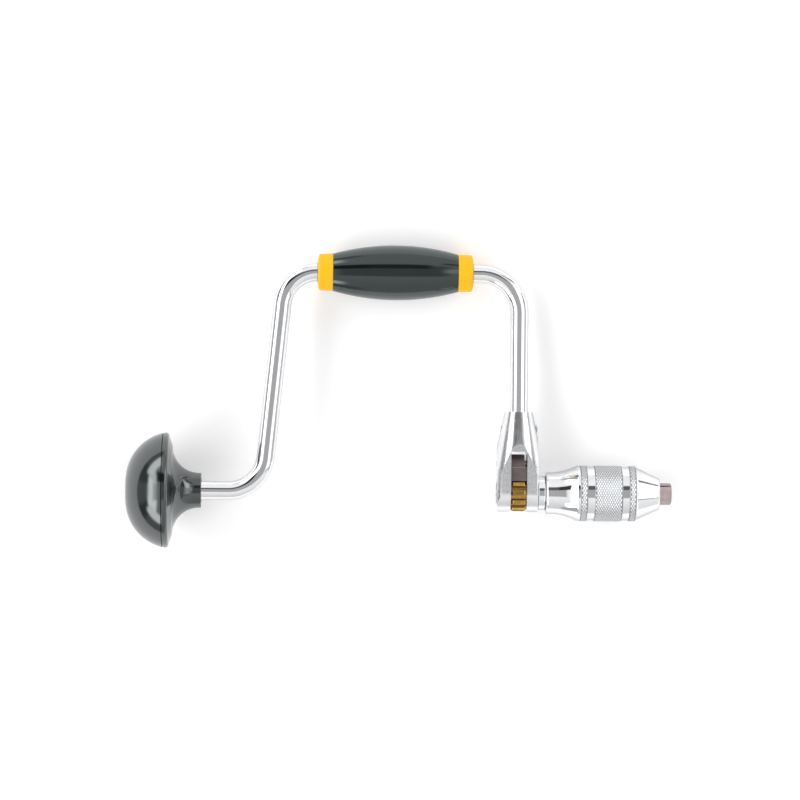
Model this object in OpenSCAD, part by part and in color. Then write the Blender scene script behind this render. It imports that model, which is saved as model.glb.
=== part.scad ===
// Bit brace: a cranked frame with a free-running head and grip, a box ratchet and a two-jaw chuck.
// The tool axis runs along X, with the bit at +X and the origin at the jaw tips.
// The crank swings out to +Y, and the brace lies flat with +Z up.

/* [Crank] */
// Diameter of the crank rod
rod_d = 12.5; // [11:0.25:14]
// Distance from the tool axis to the grip axis, half the sweep
throw = 150; // [110:1:180]
// Lean of the head-side arm away from square, in degrees
arm_lean = 5.8; // [0:0.1:10]
// Centre-line radius of the bend between the head-side arm and the grip
grip_bend_r = 24; // [20:0.5:30]
// Centre-line radius of the bend between the head-side arm and the head
head_bend_r = 25.5; // [20:0.5:32]
// Centre-line radius of the bend between the grip and the ratchet-side arm
box_bend_r = 27; // [22:0.5:34]
// Bare straight rod between the grip and the ratchet-side bend
grip_to_bend = 5; // [2:0.5:12]
// Bare straight rod between the head-side bend and the head
head_to_bend = 18.5; // [10:0.5:30]
// Diameter of the stop bead swaged on the rod inside the grip
bead_d = 15.6; // [14.8:0.2:16.4]
// Width of the stop bead
bead_w = 6; // [4:0.5:10]

/* [Head] */
// Largest diameter of the head
head_d = 79; // [72:0.5:90]
// Radius of the arc that crowns the head
crown_r = 33; // [32:0.5:35]
// Height of the crowned cap above its parting line
cap_h = 25.5; // [24.5:0.1:26.5]
// Depth of the rim band below the parting line
rim_h = 4.3; // [4.1:0.1:6]
// Radius that rounds the back edge of the rim
rim_edge_r = 2.4; // [1.6:0.1:2.4]
// Drop of the sloping back of the rim
rim_slope = 2.2; // [1.2:0.1:3]
// Radius of the hollow sweep from rim to neck
flare_r = 18.5; // [17:0.5:20]
// Length of the straight end of the neck
neck_end = 1.2; // [0.8:0.1:3]
// Outer diameter of the neck
neck_d = 24; // [22.5:0.1:26]
// Wall of the moulded head pieces
head_wall = 4; // [3:0.25:5]
// Height of the bearing parts' face below the parting line
bearing_drop = 2; // [1:0.25:3]
// Outer diameter of the thrust races
race_d = 22; // [20:0.5:24]
// Thickness of each thrust race
race_h = 3; // [2.5:0.25:4]
// Diameter of the thrust balls
ball_d = 5; // [4:0.25:5.5]
// Number of thrust balls
ball_n = 8; // [6:1:8]
// Wall of the neck bush
bush_wall = 2.3; // [1.5:0.1:3]

/* [Grip] */
// Length of the grip over both collars
grip_len = 106.4; // [90:0.2:130]
// Largest diameter of the barrel
grip_d = 37.7; // [34:0.1:42]
// Diameter of the barrel where it meets the collars
grip_end_d = 25.9; // [24:0.1:30]
// Width of each collar
collar_w = 10.4; // [8:0.2:14]
// Diameter of a collar at its outer end
collar_d = 25; // [23.4:0.1:25.8]
// Wall of the collar over the barrel's neck
collar_wall = 3; // [2:0.1:4]
// Thickness of the collar's end wall
collar_end = 2; // [1.6:0.1:2.5]
// Rise of the collar's domed end above its rim
collar_dome = 0.9; // [0.4:0.1:1.2]
// How far the barrel's nose stands out of the collar
nose_out = 0.3; // [0.1:0.1:1]
// Wall of the barrel's nose round the rod
nose_wall = 0.5; // [0.4:0.1:1]

/* [Ratchet box] */
// Width of the box along the tool axis
box_w = 28; // [26:0.5:32]
// Offset of the box's foot from the arm, away from the chuck
box_shift = 0.8; // [0:0.1:1.2]
// Half depth of the box, and the radius of its rounded foot
box_r = 14.4; // [14:0.1:15.2]
// Depth of the foot below the tool axis
foot_drop = 13; // [12.9:0.1:14]
// Height of the box above the tool axis
box_top = 55.5; // [50:0.5:65]
// Height of the foot of the box's turned cone above the tool axis
cone_foot = 13; // [10:0.5:16]
// Diameter of the cone at its foot
cone_foot_d = 37.8; // [36.6:0.1:40]
// Diameter of the cone at the top of the box
cone_top_d = 19.2; // [18:0.1:22]
// Width of the fork slot
slot_w = 11; // [10:0.1:12]
// Height of the slot's top above the tool axis
slot_top = 28.3; // [27.5:0.1:29]
// Depth of the crank rod's socket
socket_depth = 21; // [16:0.5:24]
// Diameter of the pin through box and rod
arm_pin_d = 5; // [4:0.25:5]
// Depth of the pin below the top of the box
arm_pin_drop = 11.7; // [9:0.1:14]

/* [Ratchet] */
// Outer diameter of the ratchet wheel
wheel_d = 25.4; // [25:0.1:25.8]
// Depth of the wheel's teeth
tooth_h = 2.4; // [2.2:0.1:2.6]
// Number of teeth
tooth_n = 12; // [12:12:12]
// Share of the tooth pitch that the crest fills
crest_share = 0.42; // [0.36:0.01:0.46]
// Share of the tooth pitch that the gap's floor fills
floor_share = 0.36; // [0.34:0.01:0.42]
// Diameter of the pawl pivot pins
pawl_pin_d = 3.6; // [3:0.1:4]
// Height of the pawl pivots above the tool axis
pawl_y = 20; // [19.8:0.1:20.4]
// Offset of each pawl pivot from the middle of the box
pawl_z = 3.2; // [3.1:0.1:3.4]
// Outer diameter of the selector ring
ring_d = 23.3; // [22:0.1:25]
// Width of the selector ring
ring_w = 4.9; // [4:0.1:6]
// Thickness of the cam plate
cam_t = 1.6; // [1.2:0.1:2]
// Cam radius where the pawl lugs rest
cam_r = 11; // [10.8:0.05:11.2]
// Throw of the selector to either side, in degrees
selector_throw = 25; // [20:1:30]
// Swing of each pawl to either side, in degrees
pawl_swing = 6; // [5:0.1:6.5]

/* [Spindle] */
// Diameter of the wheel's seat on the spindle
seat_d = 12; // [11:0.25:12.5]
// Diameter of the spindle inside the selector sleeve
journal_d = 13; // [12.8:0.1:14]
// Diameter of the spindle in the left bush
tail_d = 10; // [9:0.25:10.5]
// Width and height of the wheel key
key_w = 3; // [2.5:0.25:3.5]
// Length of the threaded hole for the tail screw
tail_hole_len = 10; // [8:0.5:12]
// Thread diameter of the screw in the spindle's tail
tail_screw_d = 4; // [3:0.5:5]
// Diameter of the threaded core that carries the chuck shell
core_d = 23; // [22:0.25:23.5]

/* [Chuck] */
// Largest diameter of the chuck shell
shell_d = 38.5; // [37:0.25:42]
// Diameter of the shell at its rear end
bell_d = 28.5; // [27.6:0.1:30]
// Radius of the hollow flare of the bell
bell_r = 37; // [30:0.5:44]
// Radius that rounds the rear edge of the bell
bell_edge_r = 1.6; // [0.8:0.1:1.8]
// Diameter of the nose at its front face
nose_d = 21.5; // [20.9:0.1:24]
// Length of the rear bell
bell_len = 23.3; // [21:0.1:28]
// Width of the rear knurled ring
ring1_w = 4.8; // [3:0.1:8]
// Width of each plain groove
groove_w = 4.8; // [3:0.1:8]
// Width of the middle knurled band
band_w = 19.1; // [14:0.1:26]
// Width of the front knurled ring
ring2_w = 5.5; // [4:0.1:8]
// Length of the nose cone
cone_len = 15.8; // [14:0.1:18]
// Step down from the front ring to the foot of the nose cone
cone_step = 1.4; // [0.6:0.1:1.6]
// Depth of the plain grooves
groove_depth = 0.8; // [0.4:0.1:1.2]
// Length of jaw that stands out of the closed nose
jaw_reach = 8.2; // [6:0.1:10]
// Play between the stop ring and the shell's cavity
stop_play = 1; // [0.6:0.1:1.4]
// Height of the stop ring on the spindle core
stop_h = 2; // [1.6:0.1:2.4]
// Width of the stop ring
stop_w = 4; // [3:0.5:5]
// Length of the nose's spigot inside the shell
joint_len = 10.5; // [8:0.5:12]
// Wall of the closing cone at its back
cone_wall = 3; // [2.4:0.1:3.4]
// Length of the closing cone
cone_depth = 7.5; // [6:0.25:8]
// Depth of the closing cone's front face behind the nose
cone_drop = 15.3; // [14.6:0.1:16]
// Length of the jaws' tails behind their shoulders
jaw_tail_len = 24.5; // [22:0.5:26]
// Place of the jaws' spring, from the end of their tails
jaw_spring_from_tail = 9; // [8:0.5:12]
// Diameter over both jaws at the mouth
jaw_d = 14.7; // [14:0.1:15.2]
// Gap between the closed jaws
jaw_gap = 1.2; // [0.8:0.1:1.6]
// Diameter of the round seat at the mouth
seat_bore_d = 9; // [8.8:0.1:10]
// Length of the round seat
seat_bore_len = 12; // [8:0.5:16]
// Depth of the square groove from the tool axis to its corner
groove_corner = 4.6; // [4:0.1:4.8]
// Length of the square groove
groove_len = 40; // [30:1:42]
// Half angle of the closing cone
cone_angle = 16; // [14:0.5:18]
// Turns of the shell from closed to open
shell_turns = 2; // [1:0.5:2]
// Lead of the shell's thread
thread_lead = 2.25; // [1.5:0.25:2.25]
// Turn of the jaws' split about the tool axis, in degrees
split_angle = 42; // [0:1:90]
// Number of balls behind the closing cone
cone_ball_n = 16; // [10:1:18]
// Diameter of the balls behind the closing cone
cone_ball_d = 3; // [2.5:0.25:3]

/* [Springs] */
// Wire diameter of the pawl and jaw springs
wire_d = 0.5; // [0.4:0.05:0.6]
// Outer diameter of the springs
spring_d = 3.4; // [3:0.1:3.6]
// Working turns of each spring
spring_turns = 6; // [4:1:7]

/* [Hidden] */
$fn = 96;
eps = 0.01;

// Radial clearances: a press seat, a running fit, a loose guide and a free gap
press_gap = 0.02;
run_gap = 0.07;
guide_gap = 0.1;
free_gap = 0.3;

rod_r = rod_d / 2;
lean_turn = 90 - arm_lean;

// Places along the tool axis, from the jaw tips back to the box
nose_x = -jaw_reach;
ring2_x = nose_x - cone_len;
groove2_x = ring2_x - ring2_w;
band_x = groove2_x - groove_w;
groove1_x = band_x - band_w;
ring1_x = groove1_x - groove_w;
bell_x = ring1_x - ring1_w;
rear_x = bell_x - bell_len;
collar_gap = 0.4;
bell_land = 3.3;
ring_front_x = rear_x - collar_gap;
ring_back_x = ring_front_x - ring_w;
box_right_x = ring_back_x - free_gap;
box_x = box_right_x - box_w / 2 + box_shift;
box_left_x = box_right_x - box_w;
slot_right_x = box_x + slot_w / 2;
slot_left_x = box_x - slot_w / 2;

// Places along the grip and the head, worked back from the ratchet-side arm
grip_right_x = box_x - box_bend_r - grip_to_bend;
grip_left_x = grip_right_x - grip_len;
grip_mid_x = (grip_right_x + grip_left_x) / 2;
barrel_len = grip_len - 2 * collar_w;
grip_corner_x = grip_left_x - grip_bend_r * tan(lean_turn / 2);
head_corner_x = grip_corner_x - throw * tan(arm_lean);
head_bend_x = head_corner_x - head_bend_r * tan(lean_turn / 2);
neck_x = head_bend_x - head_to_bend;

// Places along the head, from the neck back to the crown
head_r = head_d / 2;
neck_r = neck_d / 2;
flare_x = neck_x - neck_end;
rim_slope_x = flare_x - flare_r;
rim_back_x = rim_slope_x - rim_slope;
part_x = rim_back_x - rim_h;
apex_x = part_x - cap_h;
crown_flat_r = head_r - 0.28 - sqrt(pow(crown_r, 2) - pow(crown_r - cap_h, 2));
shoulder_x = part_x - bearing_drop;
race_r = race_d / 2;
ball_r = ball_d / 2;
ball_ring_r = (race_r + rod_r * 0.72) / 2;
ball_sink = 0.6;
groove_gap = 0.1;
inner_face_x = shoulder_x - race_h;
ball_x = inner_face_x - ball_r + ball_sink - groove_gap;
outer_face_x = 2 * ball_x - inner_face_x;
outer_back_x = outer_face_x - race_h;
spigot_r = rod_r * 0.72;
spigot_end_x = inner_face_x - 0.5;
bush_r = rod_r + run_gap + bush_wall;
bush_end_x = neck_x - 0.6;
bush_flange_r = bush_r + 2.4;
bush_flange_w = 2;
clip_t = 1;
clip_x = part_x + 2.2;
clip_r = rod_r + 3;
clip_groove_r = rod_r - 0.7;
bush_back_x = clip_x + clip_t + free_gap + bush_flange_w;
cage_t = 1.6;

// Grip
bore_r = rod_r + guide_gap;
grip_end_r = grip_end_d / 2;
collar_r = collar_d / 2;
collar_bore_r = collar_r - collar_wall;
nose_r = bore_r + nose_wall;
bead_r = bead_d / 2;
grip_sag = (grip_d - grip_end_d) / 2;
grip_arc_r = (pow(barrel_len / 2, 2) + pow(grip_sag, 2)) / (2 * grip_sag);
peg_r = 2;
peg_len = 4;
peg_out = 22;

// Box
pin_y = box_top - arm_pin_drop;
boss_top_r = cone_top_d / 2;
boss_foot_r = cone_foot_d / 2;
socket_y = box_top - socket_depth;
pin_r = arm_pin_d / 2;
pin_head_r = pin_r + 0.25;
pin_head_t = 0.9;
pin_head_sink = 1;
bush_wall_left = 2;
tail_r = tail_d / 2;
recess_depth = cam_t + 0.5;
recess_x = slot_right_x + recess_depth;
lobe_room_r = cam_r + 1.25;
base_room_r = cam_r - 0.4;
lobe_room_foot = 3;
lug_room_half = 11;
lug_room_top = 17;

// Ratchet
wheel_r = wheel_d / 2;
root_r = wheel_r - tooth_h;
wheel_w = slot_w - 2 * free_gap;
tooth_pitch = 360 / tooth_n;
pawl_w = slot_w - 2 * free_gap;
tip_angle = 1.5 * tooth_pitch;
tip_mid_r = root_r + 1.35;
tip_half = 0.72;
tip_root_half = 1.45;
tip_offset = 0.3;
tip_root_r = tip_mid_r + 2.25;
lug_angle = 30;
lug_reach = lug_arm(lug_angle);
cam_slope = lug_reach * pawl_swing / selector_throw;
sleeve_r = journal_d / 2 + guide_gap + 2;
cam_x = slot_right_x + 0.2;
pin_tip_x = box_right_x - 2;
spring_y = pawl_y + 4.6;
spring_seat_z = 3.9;

// Radial travel at the lug for each radian of pawl swing
function lug_arm(a) = sin(a) * (pawl_y - cam_r * cos(a)) + cos(a) * (cam_r * sin(a) - pawl_z);

// Spindle and chuck
seat_r = seat_d / 2;
journal_r = journal_d / 2;
core_r = core_d / 2;
tail_x = box_left_x + 3.1;
counterbore_r = tail_r + 3;
counterbore_x = box_left_x + 3.2;
washer_t = 0.8;
washer_r = counterbore_r - 0.4;
screw_r = tail_screw_d / 2;
screw_head_r = screw_r + 2.5;
screw_head_t = 1.9;
shell_r = shell_d / 2;
bell_end_r = bell_d / 2;
nose_r_front = nose_d / 2;
lathe_r = shell_r - groove_depth;
jaw_swing_room = 2.05;
cone_gap = 0.2;
jaw_step_out = 0.5;
jaw_tail_step = 0.15;
jaw_tail_room = 1;
core_setback = 2.5;
jaw_end_gap = 0.4;
clip_slot_w = 6;
clip_seat_back = 0.6;
clip_seat_depth = 0.6;
thread_r = core_r + guide_gap;
stop_r = core_r + stop_h;
cavity_r = stop_r + stop_play;
joint_r = (cavity_r + lathe_r) / 2;
nose_bore_r = jaw_d / 2 + jaw_swing_room;
cone_front_x = nose_x - cone_drop;
cone_back_x = cone_front_x - cone_depth;
cone_outer_r = cavity_r - cone_gap;
cone_ball_r = cone_ball_d / 2;
cone_ring_r = nose_bore_r + 2;
cone_ball_sink = 0.3;
cone_ball_x = cone_front_x + cone_ball_r - cone_ball_sink + groove_gap;
land_x = 2 * cone_ball_x - cone_front_x;
jaw_r = jaw_d / 2;
jaw_cone_r = cone_outer_r - cone_wall;
jaw_step_x = cone_back_x - jaw_step_out;
jaw_tail_r = jaw_r - jaw_tail_step;
jaw_bore_r = jaw_tail_r + jaw_tail_room;
jaw_tail_x = jaw_step_x - jaw_tail_len;
jaw_spring_x = jaw_tail_x + jaw_spring_from_tail;
core_front_x = jaw_step_x - core_setback;
core_floor_x = jaw_tail_x - jaw_end_gap;
shell_travel = shell_turns * thread_lead;
stop_x = bell_x + shell_travel + free_gap;
cone_clip_x = cone_back_x - clip_seat_back;
cone_clip_t = 1;
cone_clip_r = cavity_r + clip_seat_depth;

// Springs
coil_r = (spring_d - wire_d) / 2;
pocket_r = spring_d / 2 + 0.3;
spring_half = 3.7;

// Axes: along_x stands a shape on the tool axis, with its own X along Y and its own Y along Z
module along_x(x = 0) translate([x, 0, 0]) rotate([90, 0, 90]) children();

// A round bar along X from x0 to x1
module bar_x(r, x0, x1, y = 0, z = 0) translate([0, y, z]) along_x(x0) cylinder(r = r, h = x1 - x0);

// A flat profile in the Y-Z plane, thick along X from x0 to x1
module plate_x(x0, x1) along_x(x0) linear_extrude(x1 - x0) children();

// A profile of radius against X, turned about the tool axis
module turned() along_x() rotate_extrude() children();

// A ring profile: inner and outer radius between two places along X
module ring_2d(r0, r1, x0, x1) translate([r0, x0]) square([r1 - r0, x1 - x0]);

// Evenly spaced balls on a circle about the tool axis
module ball_ring(count, ring_r, r, x) {
    for (i = [0:count - 1])
        rotate([360 / count * i, 0, 0])
            translate([x, ring_r, 0])
                sphere(r = r, $fn = 24);
}

// A groove that balls roll in, cut by a ring of round section
module ball_groove(ring_r, r, x) turned() translate([ring_r, x]) circle(r = r + groove_gap);

// Turns the jaws' own frame about the tool axis: their Y is normal to the split
module split_frame() rotate([split_angle - 90, 0, 0]) children();

// Springs: a compression coil between -half and +half along its own Z, with square straight ends
spring_sides = 6;
spring_steps = 8;
spring_rise = 2 * (spring_half - wire_d);
function coil_point(t, turns, rise) = [
    coil_r * cos(360 * t * turns),
    coil_r * sin(360 * t * turns),
    rise * (t - 0.5)
];
function coil_path(turns, rise) = concat(
    [[coil_r, 0, -rise / 2 - wire_d / 2]],
    [for (i = [0:turns * spring_steps]) coil_point(i / (turns * spring_steps), turns, rise)],
    [[coil_r, 0, rise / 2 + wire_d / 2]]
);
function unit(v) = v / norm(v);
function path_way(p, i) = i == 0 || i == len(p) - 1 ? [0, 0, 1] : unit(p[i + 1] - p[i - 1]);
function ring_point(p, way, side) =
    let (out = unit([p[0], p[1], 0]))
    let (flat = unit(out - way * (out * way)))
    let (across = cross(way, flat))
    p + wire_d / 2 * (cos(side) * flat + sin(side) * across);
module coil(turns, rise) {
    path = coil_path(turns, rise);
    last = len(path) - 1;
    n = spring_sides;
    points = [
        for (i = [0:last]) for (k = [0:n - 1]) ring_point(path[i], path_way(path, i), 360 / n * k)
    ];
    sides = [
        for (i = [0:last - 1]) for (k = [0:n - 1])
            let (a = i * n + k)
            let (b = i * n + (k + 1) % n)
            each [[a, a + n, b], [b, a + n, b + n]]
    ];
    foot = [for (k = [0:n - 1]) k];
    top = [for (k = [0:n - 1]) last * n + n - 1 - k];
    polyhedron(points, concat(sides, [foot], [top]), convexity = 6);
}
coil_gap = spring_rise / spring_turns - wire_d;
echo(least_gap_between_spring_turns = coil_gap);

// Crank: straight runs of rod joined by bends, with the swaged bead and the turned ends
module bend(x, y, r, start, turn) translate([x, y, 0]) rotate(start) rotate_extrude(angle = turn)
    translate([r, 0])
        circle(r = rod_r);

// The leaning arm is a hair thinner than its bends and ends just inside them
arm_sink = 0.3;
arm_step = 0.02;
arm_foot = [
    head_bend_x + head_bend_r * sin(lean_turn),
    head_bend_r * (1 - cos(lean_turn)),
    0
];
arm_top = [
    grip_left_x - grip_bend_r * sin(lean_turn),
    throw - grip_bend_r * (1 - cos(lean_turn)),
    0
];
module head_arm() translate(arm_foot) rotate([-90, 0, -arm_lean]) translate([0, 0, -arm_sink])
    cylinder(r = rod_r - arm_step, h = norm(arm_top - arm_foot) + 2 * arm_sink);

module crank_rod() color("gainsboro") difference() {
    union() {
        bar_x(spigot_r, spigot_end_x, shoulder_x + 1);
        bar_x(rod_r, shoulder_x, head_bend_x);
        bend(head_bend_x, head_bend_r, head_bend_r, -90, lean_turn);
        head_arm();
        bend(grip_left_x, throw - grip_bend_r, grip_bend_r, 90, lean_turn);
        bar_x(rod_r, grip_left_x, grip_right_x + grip_to_bend, y = throw);
        bar_x(bead_r, grip_mid_x - bead_w / 2, grip_mid_x + bead_w / 2, y = throw);
        bend(box_x - box_bend_r, throw - box_bend_r, box_bend_r, 0, 90);
        translate([box_x, socket_y, 0])
            rotate([-90, 0, 0])
                cylinder(r = rod_r, h = throw - box_bend_r - socket_y);
    }
    turned() ring_2d(clip_groove_r, rod_r + 1, clip_x - 0.05, clip_x + clip_t + 0.05);
    bar_x(pin_r + press_gap, box_left_x, box_right_x, y = pin_y);
}

// Pin through box and rod, with its upset head let into the side of the box
module arm_pin() color("silver") union() {
    bar_x(pin_r, pin_out_x(-1), pin_out_x(1), y = pin_y);
    bar_x(pin_head_r, pin_seat_x(), pin_out_x(1) + pin_head_t, y = pin_y);
}

// Radius of the box's cone at a height, where the pin comes out of its left side, -1, or right side, 1,
// and the floor of the pin head's seat
function boss_r_at(y) = boss_top_r + (boss_foot_r - boss_top_r) * (box_top - y) / (box_top - cone_foot);
function pin_out_x(side) = box_x + side * (boss_r_at(pin_y) + 0.1);
function pin_seat_x() = pin_out_x(1) - pin_head_sink;

// Head: a crowned cap on a flared base, both hollow, with the thrust bearing between cap and rod
module crown_2d(r) union() {
    translate([crown_flat_r, apex_x + crown_r]) circle(r = r, $fn = 200);
    translate([0, apex_x + crown_r - r]) square([crown_flat_r, 2 * r]);
}

module cap_half(r, x1) intersection() {
    crown_2d(r);
    translate([0, apex_x]) square([head_d, x1 - apex_x]);
}

lip_r = head_r - head_wall + 0.6;
lip_len = 3.2;
boss_r = race_r + 3;

module head_cap() color("#3f4646") turned() difference() {
    union() {
        difference() {
            cap_half(crown_r, part_x);
            cap_half(crown_r - head_wall, part_x + 1);
        }
        ring_2d(0, boss_r, apex_x + head_wall / 2, outer_face_x + 1);
        ring_2d(lip_r - 2.4, lip_r - guide_gap, part_x - 3, part_x + lip_len);
    }
    ring_2d(-1, race_r + press_gap, outer_back_x, outer_face_x + 2);
}

module base_2d() difference() {
    union() {
        polygon([
            [0, part_x],
            [head_r - 0.28, part_x],
            [head_r, part_x + 1.6],
            [head_r, rim_back_x - rim_edge_r],
            [head_r - rim_edge_r, rim_back_x],
            [neck_r + flare_r, rim_slope_x],
            [neck_r + flare_r, flare_x],
            [neck_r, flare_x],
            [neck_r, neck_x - 0.8],
            [neck_r - 0.8, neck_x],
            [0, neck_x]
        ]);
        translate([head_r - rim_edge_r, rim_back_x - rim_edge_r]) circle(r = rim_edge_r);
        translate([neck_r - 0.8, neck_x - 0.8]) circle(r = 0.8);
    }
    translate([neck_r + flare_r, flare_x]) circle(r = flare_r, $fn = 200);
    translate([-1, part_x - rim_edge_r]) square([head_d, rim_edge_r]);
}

module head_base() color("#3f4646") turned() difference() {
    base_2d();
    ring_2d(-1, bush_r + press_gap, part_x, neck_x + 1);
    ring_2d(-1, neck_r - 0.5, part_x - 1, bush_back_x);
    polygon([
        [neck_r - 0.6, part_x - 1],
        [lip_r, part_x - 1],
        [lip_r, part_x + lip_len + 0.2],
        [neck_r + flare_r - head_wall, part_x + lip_len + 0.2],
        [neck_r + 2, rim_slope_x + 0.5],
        [neck_r - 0.6, rim_slope_x + 0.5]
    ]);
    ring_2d(neck_r - 0.7, neck_r + 2, part_x - 1, rim_slope_x);
}

module neck_bush() color("#b08d57") turned() difference() {
    union() {
        ring_2d(rod_r + run_gap, bush_r, bush_back_x - bush_flange_w, bush_end_x);
        ring_2d(rod_r + run_gap, bush_flange_r, bush_back_x - bush_flange_w, bush_back_x);
    }
}

module outer_race() color("lightgray") difference() {
    turned() ring_2d(spigot_r + 0.5, race_r, outer_back_x, outer_face_x);
    ball_groove(ball_ring_r, ball_r, ball_x);
}

module inner_race() color("lightgray") difference() {
    turned() ring_2d(spigot_r + press_gap, race_r - 0.5, inner_face_x, shoulder_x);
    ball_groove(ball_ring_r, ball_r, ball_x);
}

module thrust_cage() color("#b08d57") difference() {
    turned() ring_2d(spigot_r + 0.8, race_r - 0.6, ball_x - cage_t / 2, ball_x + cage_t / 2);
    for (i = [0:ball_n - 1])
        rotate([360 / ball_n * i, 0, 0])
            bar_x(ball_r + groove_gap, ball_x - cage_t, ball_x + cage_t, y = ball_ring_r);
}

module thrust_balls() color("white") ball_ring(ball_n, ball_ring_r, ball_r, ball_x);

module head_clip() color("dimgray") difference() {
    turned() ring_2d(clip_groove_r + press_gap, clip_r, clip_x, clip_x + clip_t);
    translate([clip_x - 1, 0, -rod_r * 0.6]) cube([clip_t + 2, clip_r + 1, rod_r * 1.2]);
}

// Grip: two halves split along the X-Y plane, held together by a collar at each end
module barrel() translate([0, throw, 0]) along_x(grip_mid_x) rotate_extrude() difference() {
    union() {
        intersection() {
            translate([grip_d / 2 - grip_arc_r, 0]) circle(r = grip_arc_r, $fn = 720);
            translate([0, -barrel_len / 2]) square([grip_d, barrel_len]);
        }
        ring_2d(0, collar_bore_r - 0.05, -grip_len / 2 + collar_end, grip_len / 2 - collar_end);
        ring_2d(0, nose_r, -grip_len / 2 - nose_out, grip_len / 2 + nose_out);
    }
    ring_2d(-1, bore_r, -grip_len, grip_len);
    ring_2d(-1, bead_r + free_gap, -bead_w / 2 - free_gap, bead_w / 2 + free_gap);
}

// Upper and lower half space about the grip's split
module half_space(side) translate([grip_mid_x - grip_len, throw - grip_d, side > 0 ? 0 : -grip_d])
    cube([2 * grip_len, 2 * grip_d, grip_d]);

module pegs(r, len) {
    for (sx = [-1, 1])
        for (sy = [-1, 1])
            translate([grip_mid_x + sx * peg_out, throw + sy * (grip_d / 2 - 5.5), -len])
                cylinder(r = r, h = len + 1, $fn = 32);
}

module grip_front() color("#2e3434") union() {
    intersection() {
        barrel();
        half_space(1);
    }
    pegs(peg_r, peg_len);
}

module grip_back() color("#2e3434") difference() {
    intersection() {
        barrel();
        half_space(-1);
    }
    pegs(peg_r + guide_gap, peg_len + 0.5);
}

// A collar on its own axis, with its inner face at X = 0 and its end wall at X = collar_w
module collar() translate([0, throw, 0]) along_x() rotate_extrude() difference() {
    union() {
        polygon([
            [0, 0],
            [grip_end_r - 0.4, 0],
            [grip_end_r, 0.4],
            [collar_r, collar_w - collar_dome - 1],
            [collar_r - 1, collar_w - collar_dome],
            [nose_r + 1.5, collar_w],
            [0, collar_w]
        ]);
        translate([collar_r - 1, collar_w - collar_dome - 1]) circle(r = 1);
    }
    ring_2d(-1, collar_bore_r, -1, collar_w - collar_end);
    ring_2d(-1, nose_r + 0.05, -1, collar_w + 1);
}

module collar_right() color("#fdc52a") translate([grip_right_x - collar_w, 0, 0]) collar();

module collar_left() color("#fdc52a")
    translate([grip_left_x + collar_w, 0, 0])
        mirror([1, 0, 0])
            collar();

// Ratchet box: a bar turned to a cone about the arm's axis, with flats on four sides and a rounded foot
module boss_body() translate([box_x, 0, 0]) rotate([-90, 0, 0]) rotate_extrude() polygon([
    [0, -foot_drop - 1],
    [boss_foot_r, -foot_drop - 1],
    [boss_foot_r, cone_foot],
    [boss_top_r, box_top],
    [0, box_top]
]);

module box_side_2d() union() {
    translate([box_r - foot_drop, 0]) circle(r = box_r);
    translate([box_r - foot_drop, -box_r]) square([box_top - box_r + foot_drop, 2 * box_r]);
}

// Room in the right cheek for the cam plate and the pawl lugs
module cam_room_2d() union() {
    circle(r = base_room_r);
    intersection() {
        circle(r = lobe_room_r);
        translate([lobe_room_foot, -lobe_room_r]) square(2 * lobe_room_r);
    }
    translate([lobe_room_r / 2, -lug_room_half])
        square([lug_room_top - lobe_room_r / 2, 2 * lug_room_half]);
}

module ratchet_box() color("#d9dadb") difference() {
    intersection() {
        boss_body();
        plate_x(box_left_x, box_right_x) box_side_2d();
    }
    translate([slot_left_x, -2 * box_r, -2 * box_r]) cube([slot_w, slot_top + 2 * box_r, 4 * box_r]);
    translate([box_x, socket_y, 0]) rotate([-90, 0, 0]) cylinder(r = rod_r + 0.05, h = box_top);
    bar_x(pin_r + press_gap, box_left_x - 1, box_right_x + 1, y = pin_y);
    bar_x(pin_head_r + press_gap, pin_seat_x(), box_right_x + 1, y = pin_y);
    bar_x(tail_r + bush_wall_left + press_gap, box_left_x - 1, slot_left_x + 1);
    bar_x(counterbore_r, box_left_x - 1, counterbore_x);
    bar_x(sleeve_r + guide_gap, slot_right_x - 1, box_right_x + 1);
    plate_x(slot_right_x - 1, recess_x) cam_room_2d();
    for (s = [-1, 1])
        bar_x(pawl_pin_d / 2 + press_gap, box_left_x - 1, pin_tip_x, y = pawl_y, z = s * pawl_z);
}

module left_bush() color("#b08d57") difference() {
    bar_x(tail_r + bush_wall_left, counterbore_x, slot_left_x);
    bar_x(tail_r + run_gap, counterbore_x - 1, slot_left_x + 1);
}

module pawl_pin(side) bar_x(
    pawl_pin_d / 2, box_left_x + 0.2, pin_tip_x - 0.1, y = pawl_y, z = side * pawl_z
);
module pawl_pin_front() color("silver") pawl_pin(1);
module pawl_pin_back() color("silver") pawl_pin(-1);

// Ratchet wheel: straight teeth with the pitch shared between crest, flanks and floor
function tooth_points() = [
    for (i = [0:tooth_n - 1]) each [
        for (e = [
            [root_r, -0.5 + floor_share / 2],
            [wheel_r, -crest_share / 2],
            [wheel_r, crest_share / 2],
            [root_r, 0.5 - floor_share / 2]
        ])
            let (a = tooth_pitch * (i + e[1]))
            [e[0] * cos(a), e[0] * sin(a)]
    ]
];

module ratchet_wheel() color("#c79a35") difference() {
    intersection() {
        plate_x(box_x - wheel_w / 2, box_x + wheel_w / 2) polygon(tooth_points());
        turned() polygon([
            [0, box_x - wheel_w / 2],
            [wheel_r - 1.1, box_x - wheel_w / 2],
            [wheel_r + 0.1, box_x - wheel_w / 2 + 1.5],
            [wheel_r + 0.1, box_x + wheel_w / 2 - 1.5],
            [wheel_r - 1.1, box_x + wheel_w / 2],
            [0, box_x + wheel_w / 2]
        ]);
    }
    bar_x(seat_r + press_gap, slot_left_x, slot_right_x);
    key_space(0.05);
}

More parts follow.
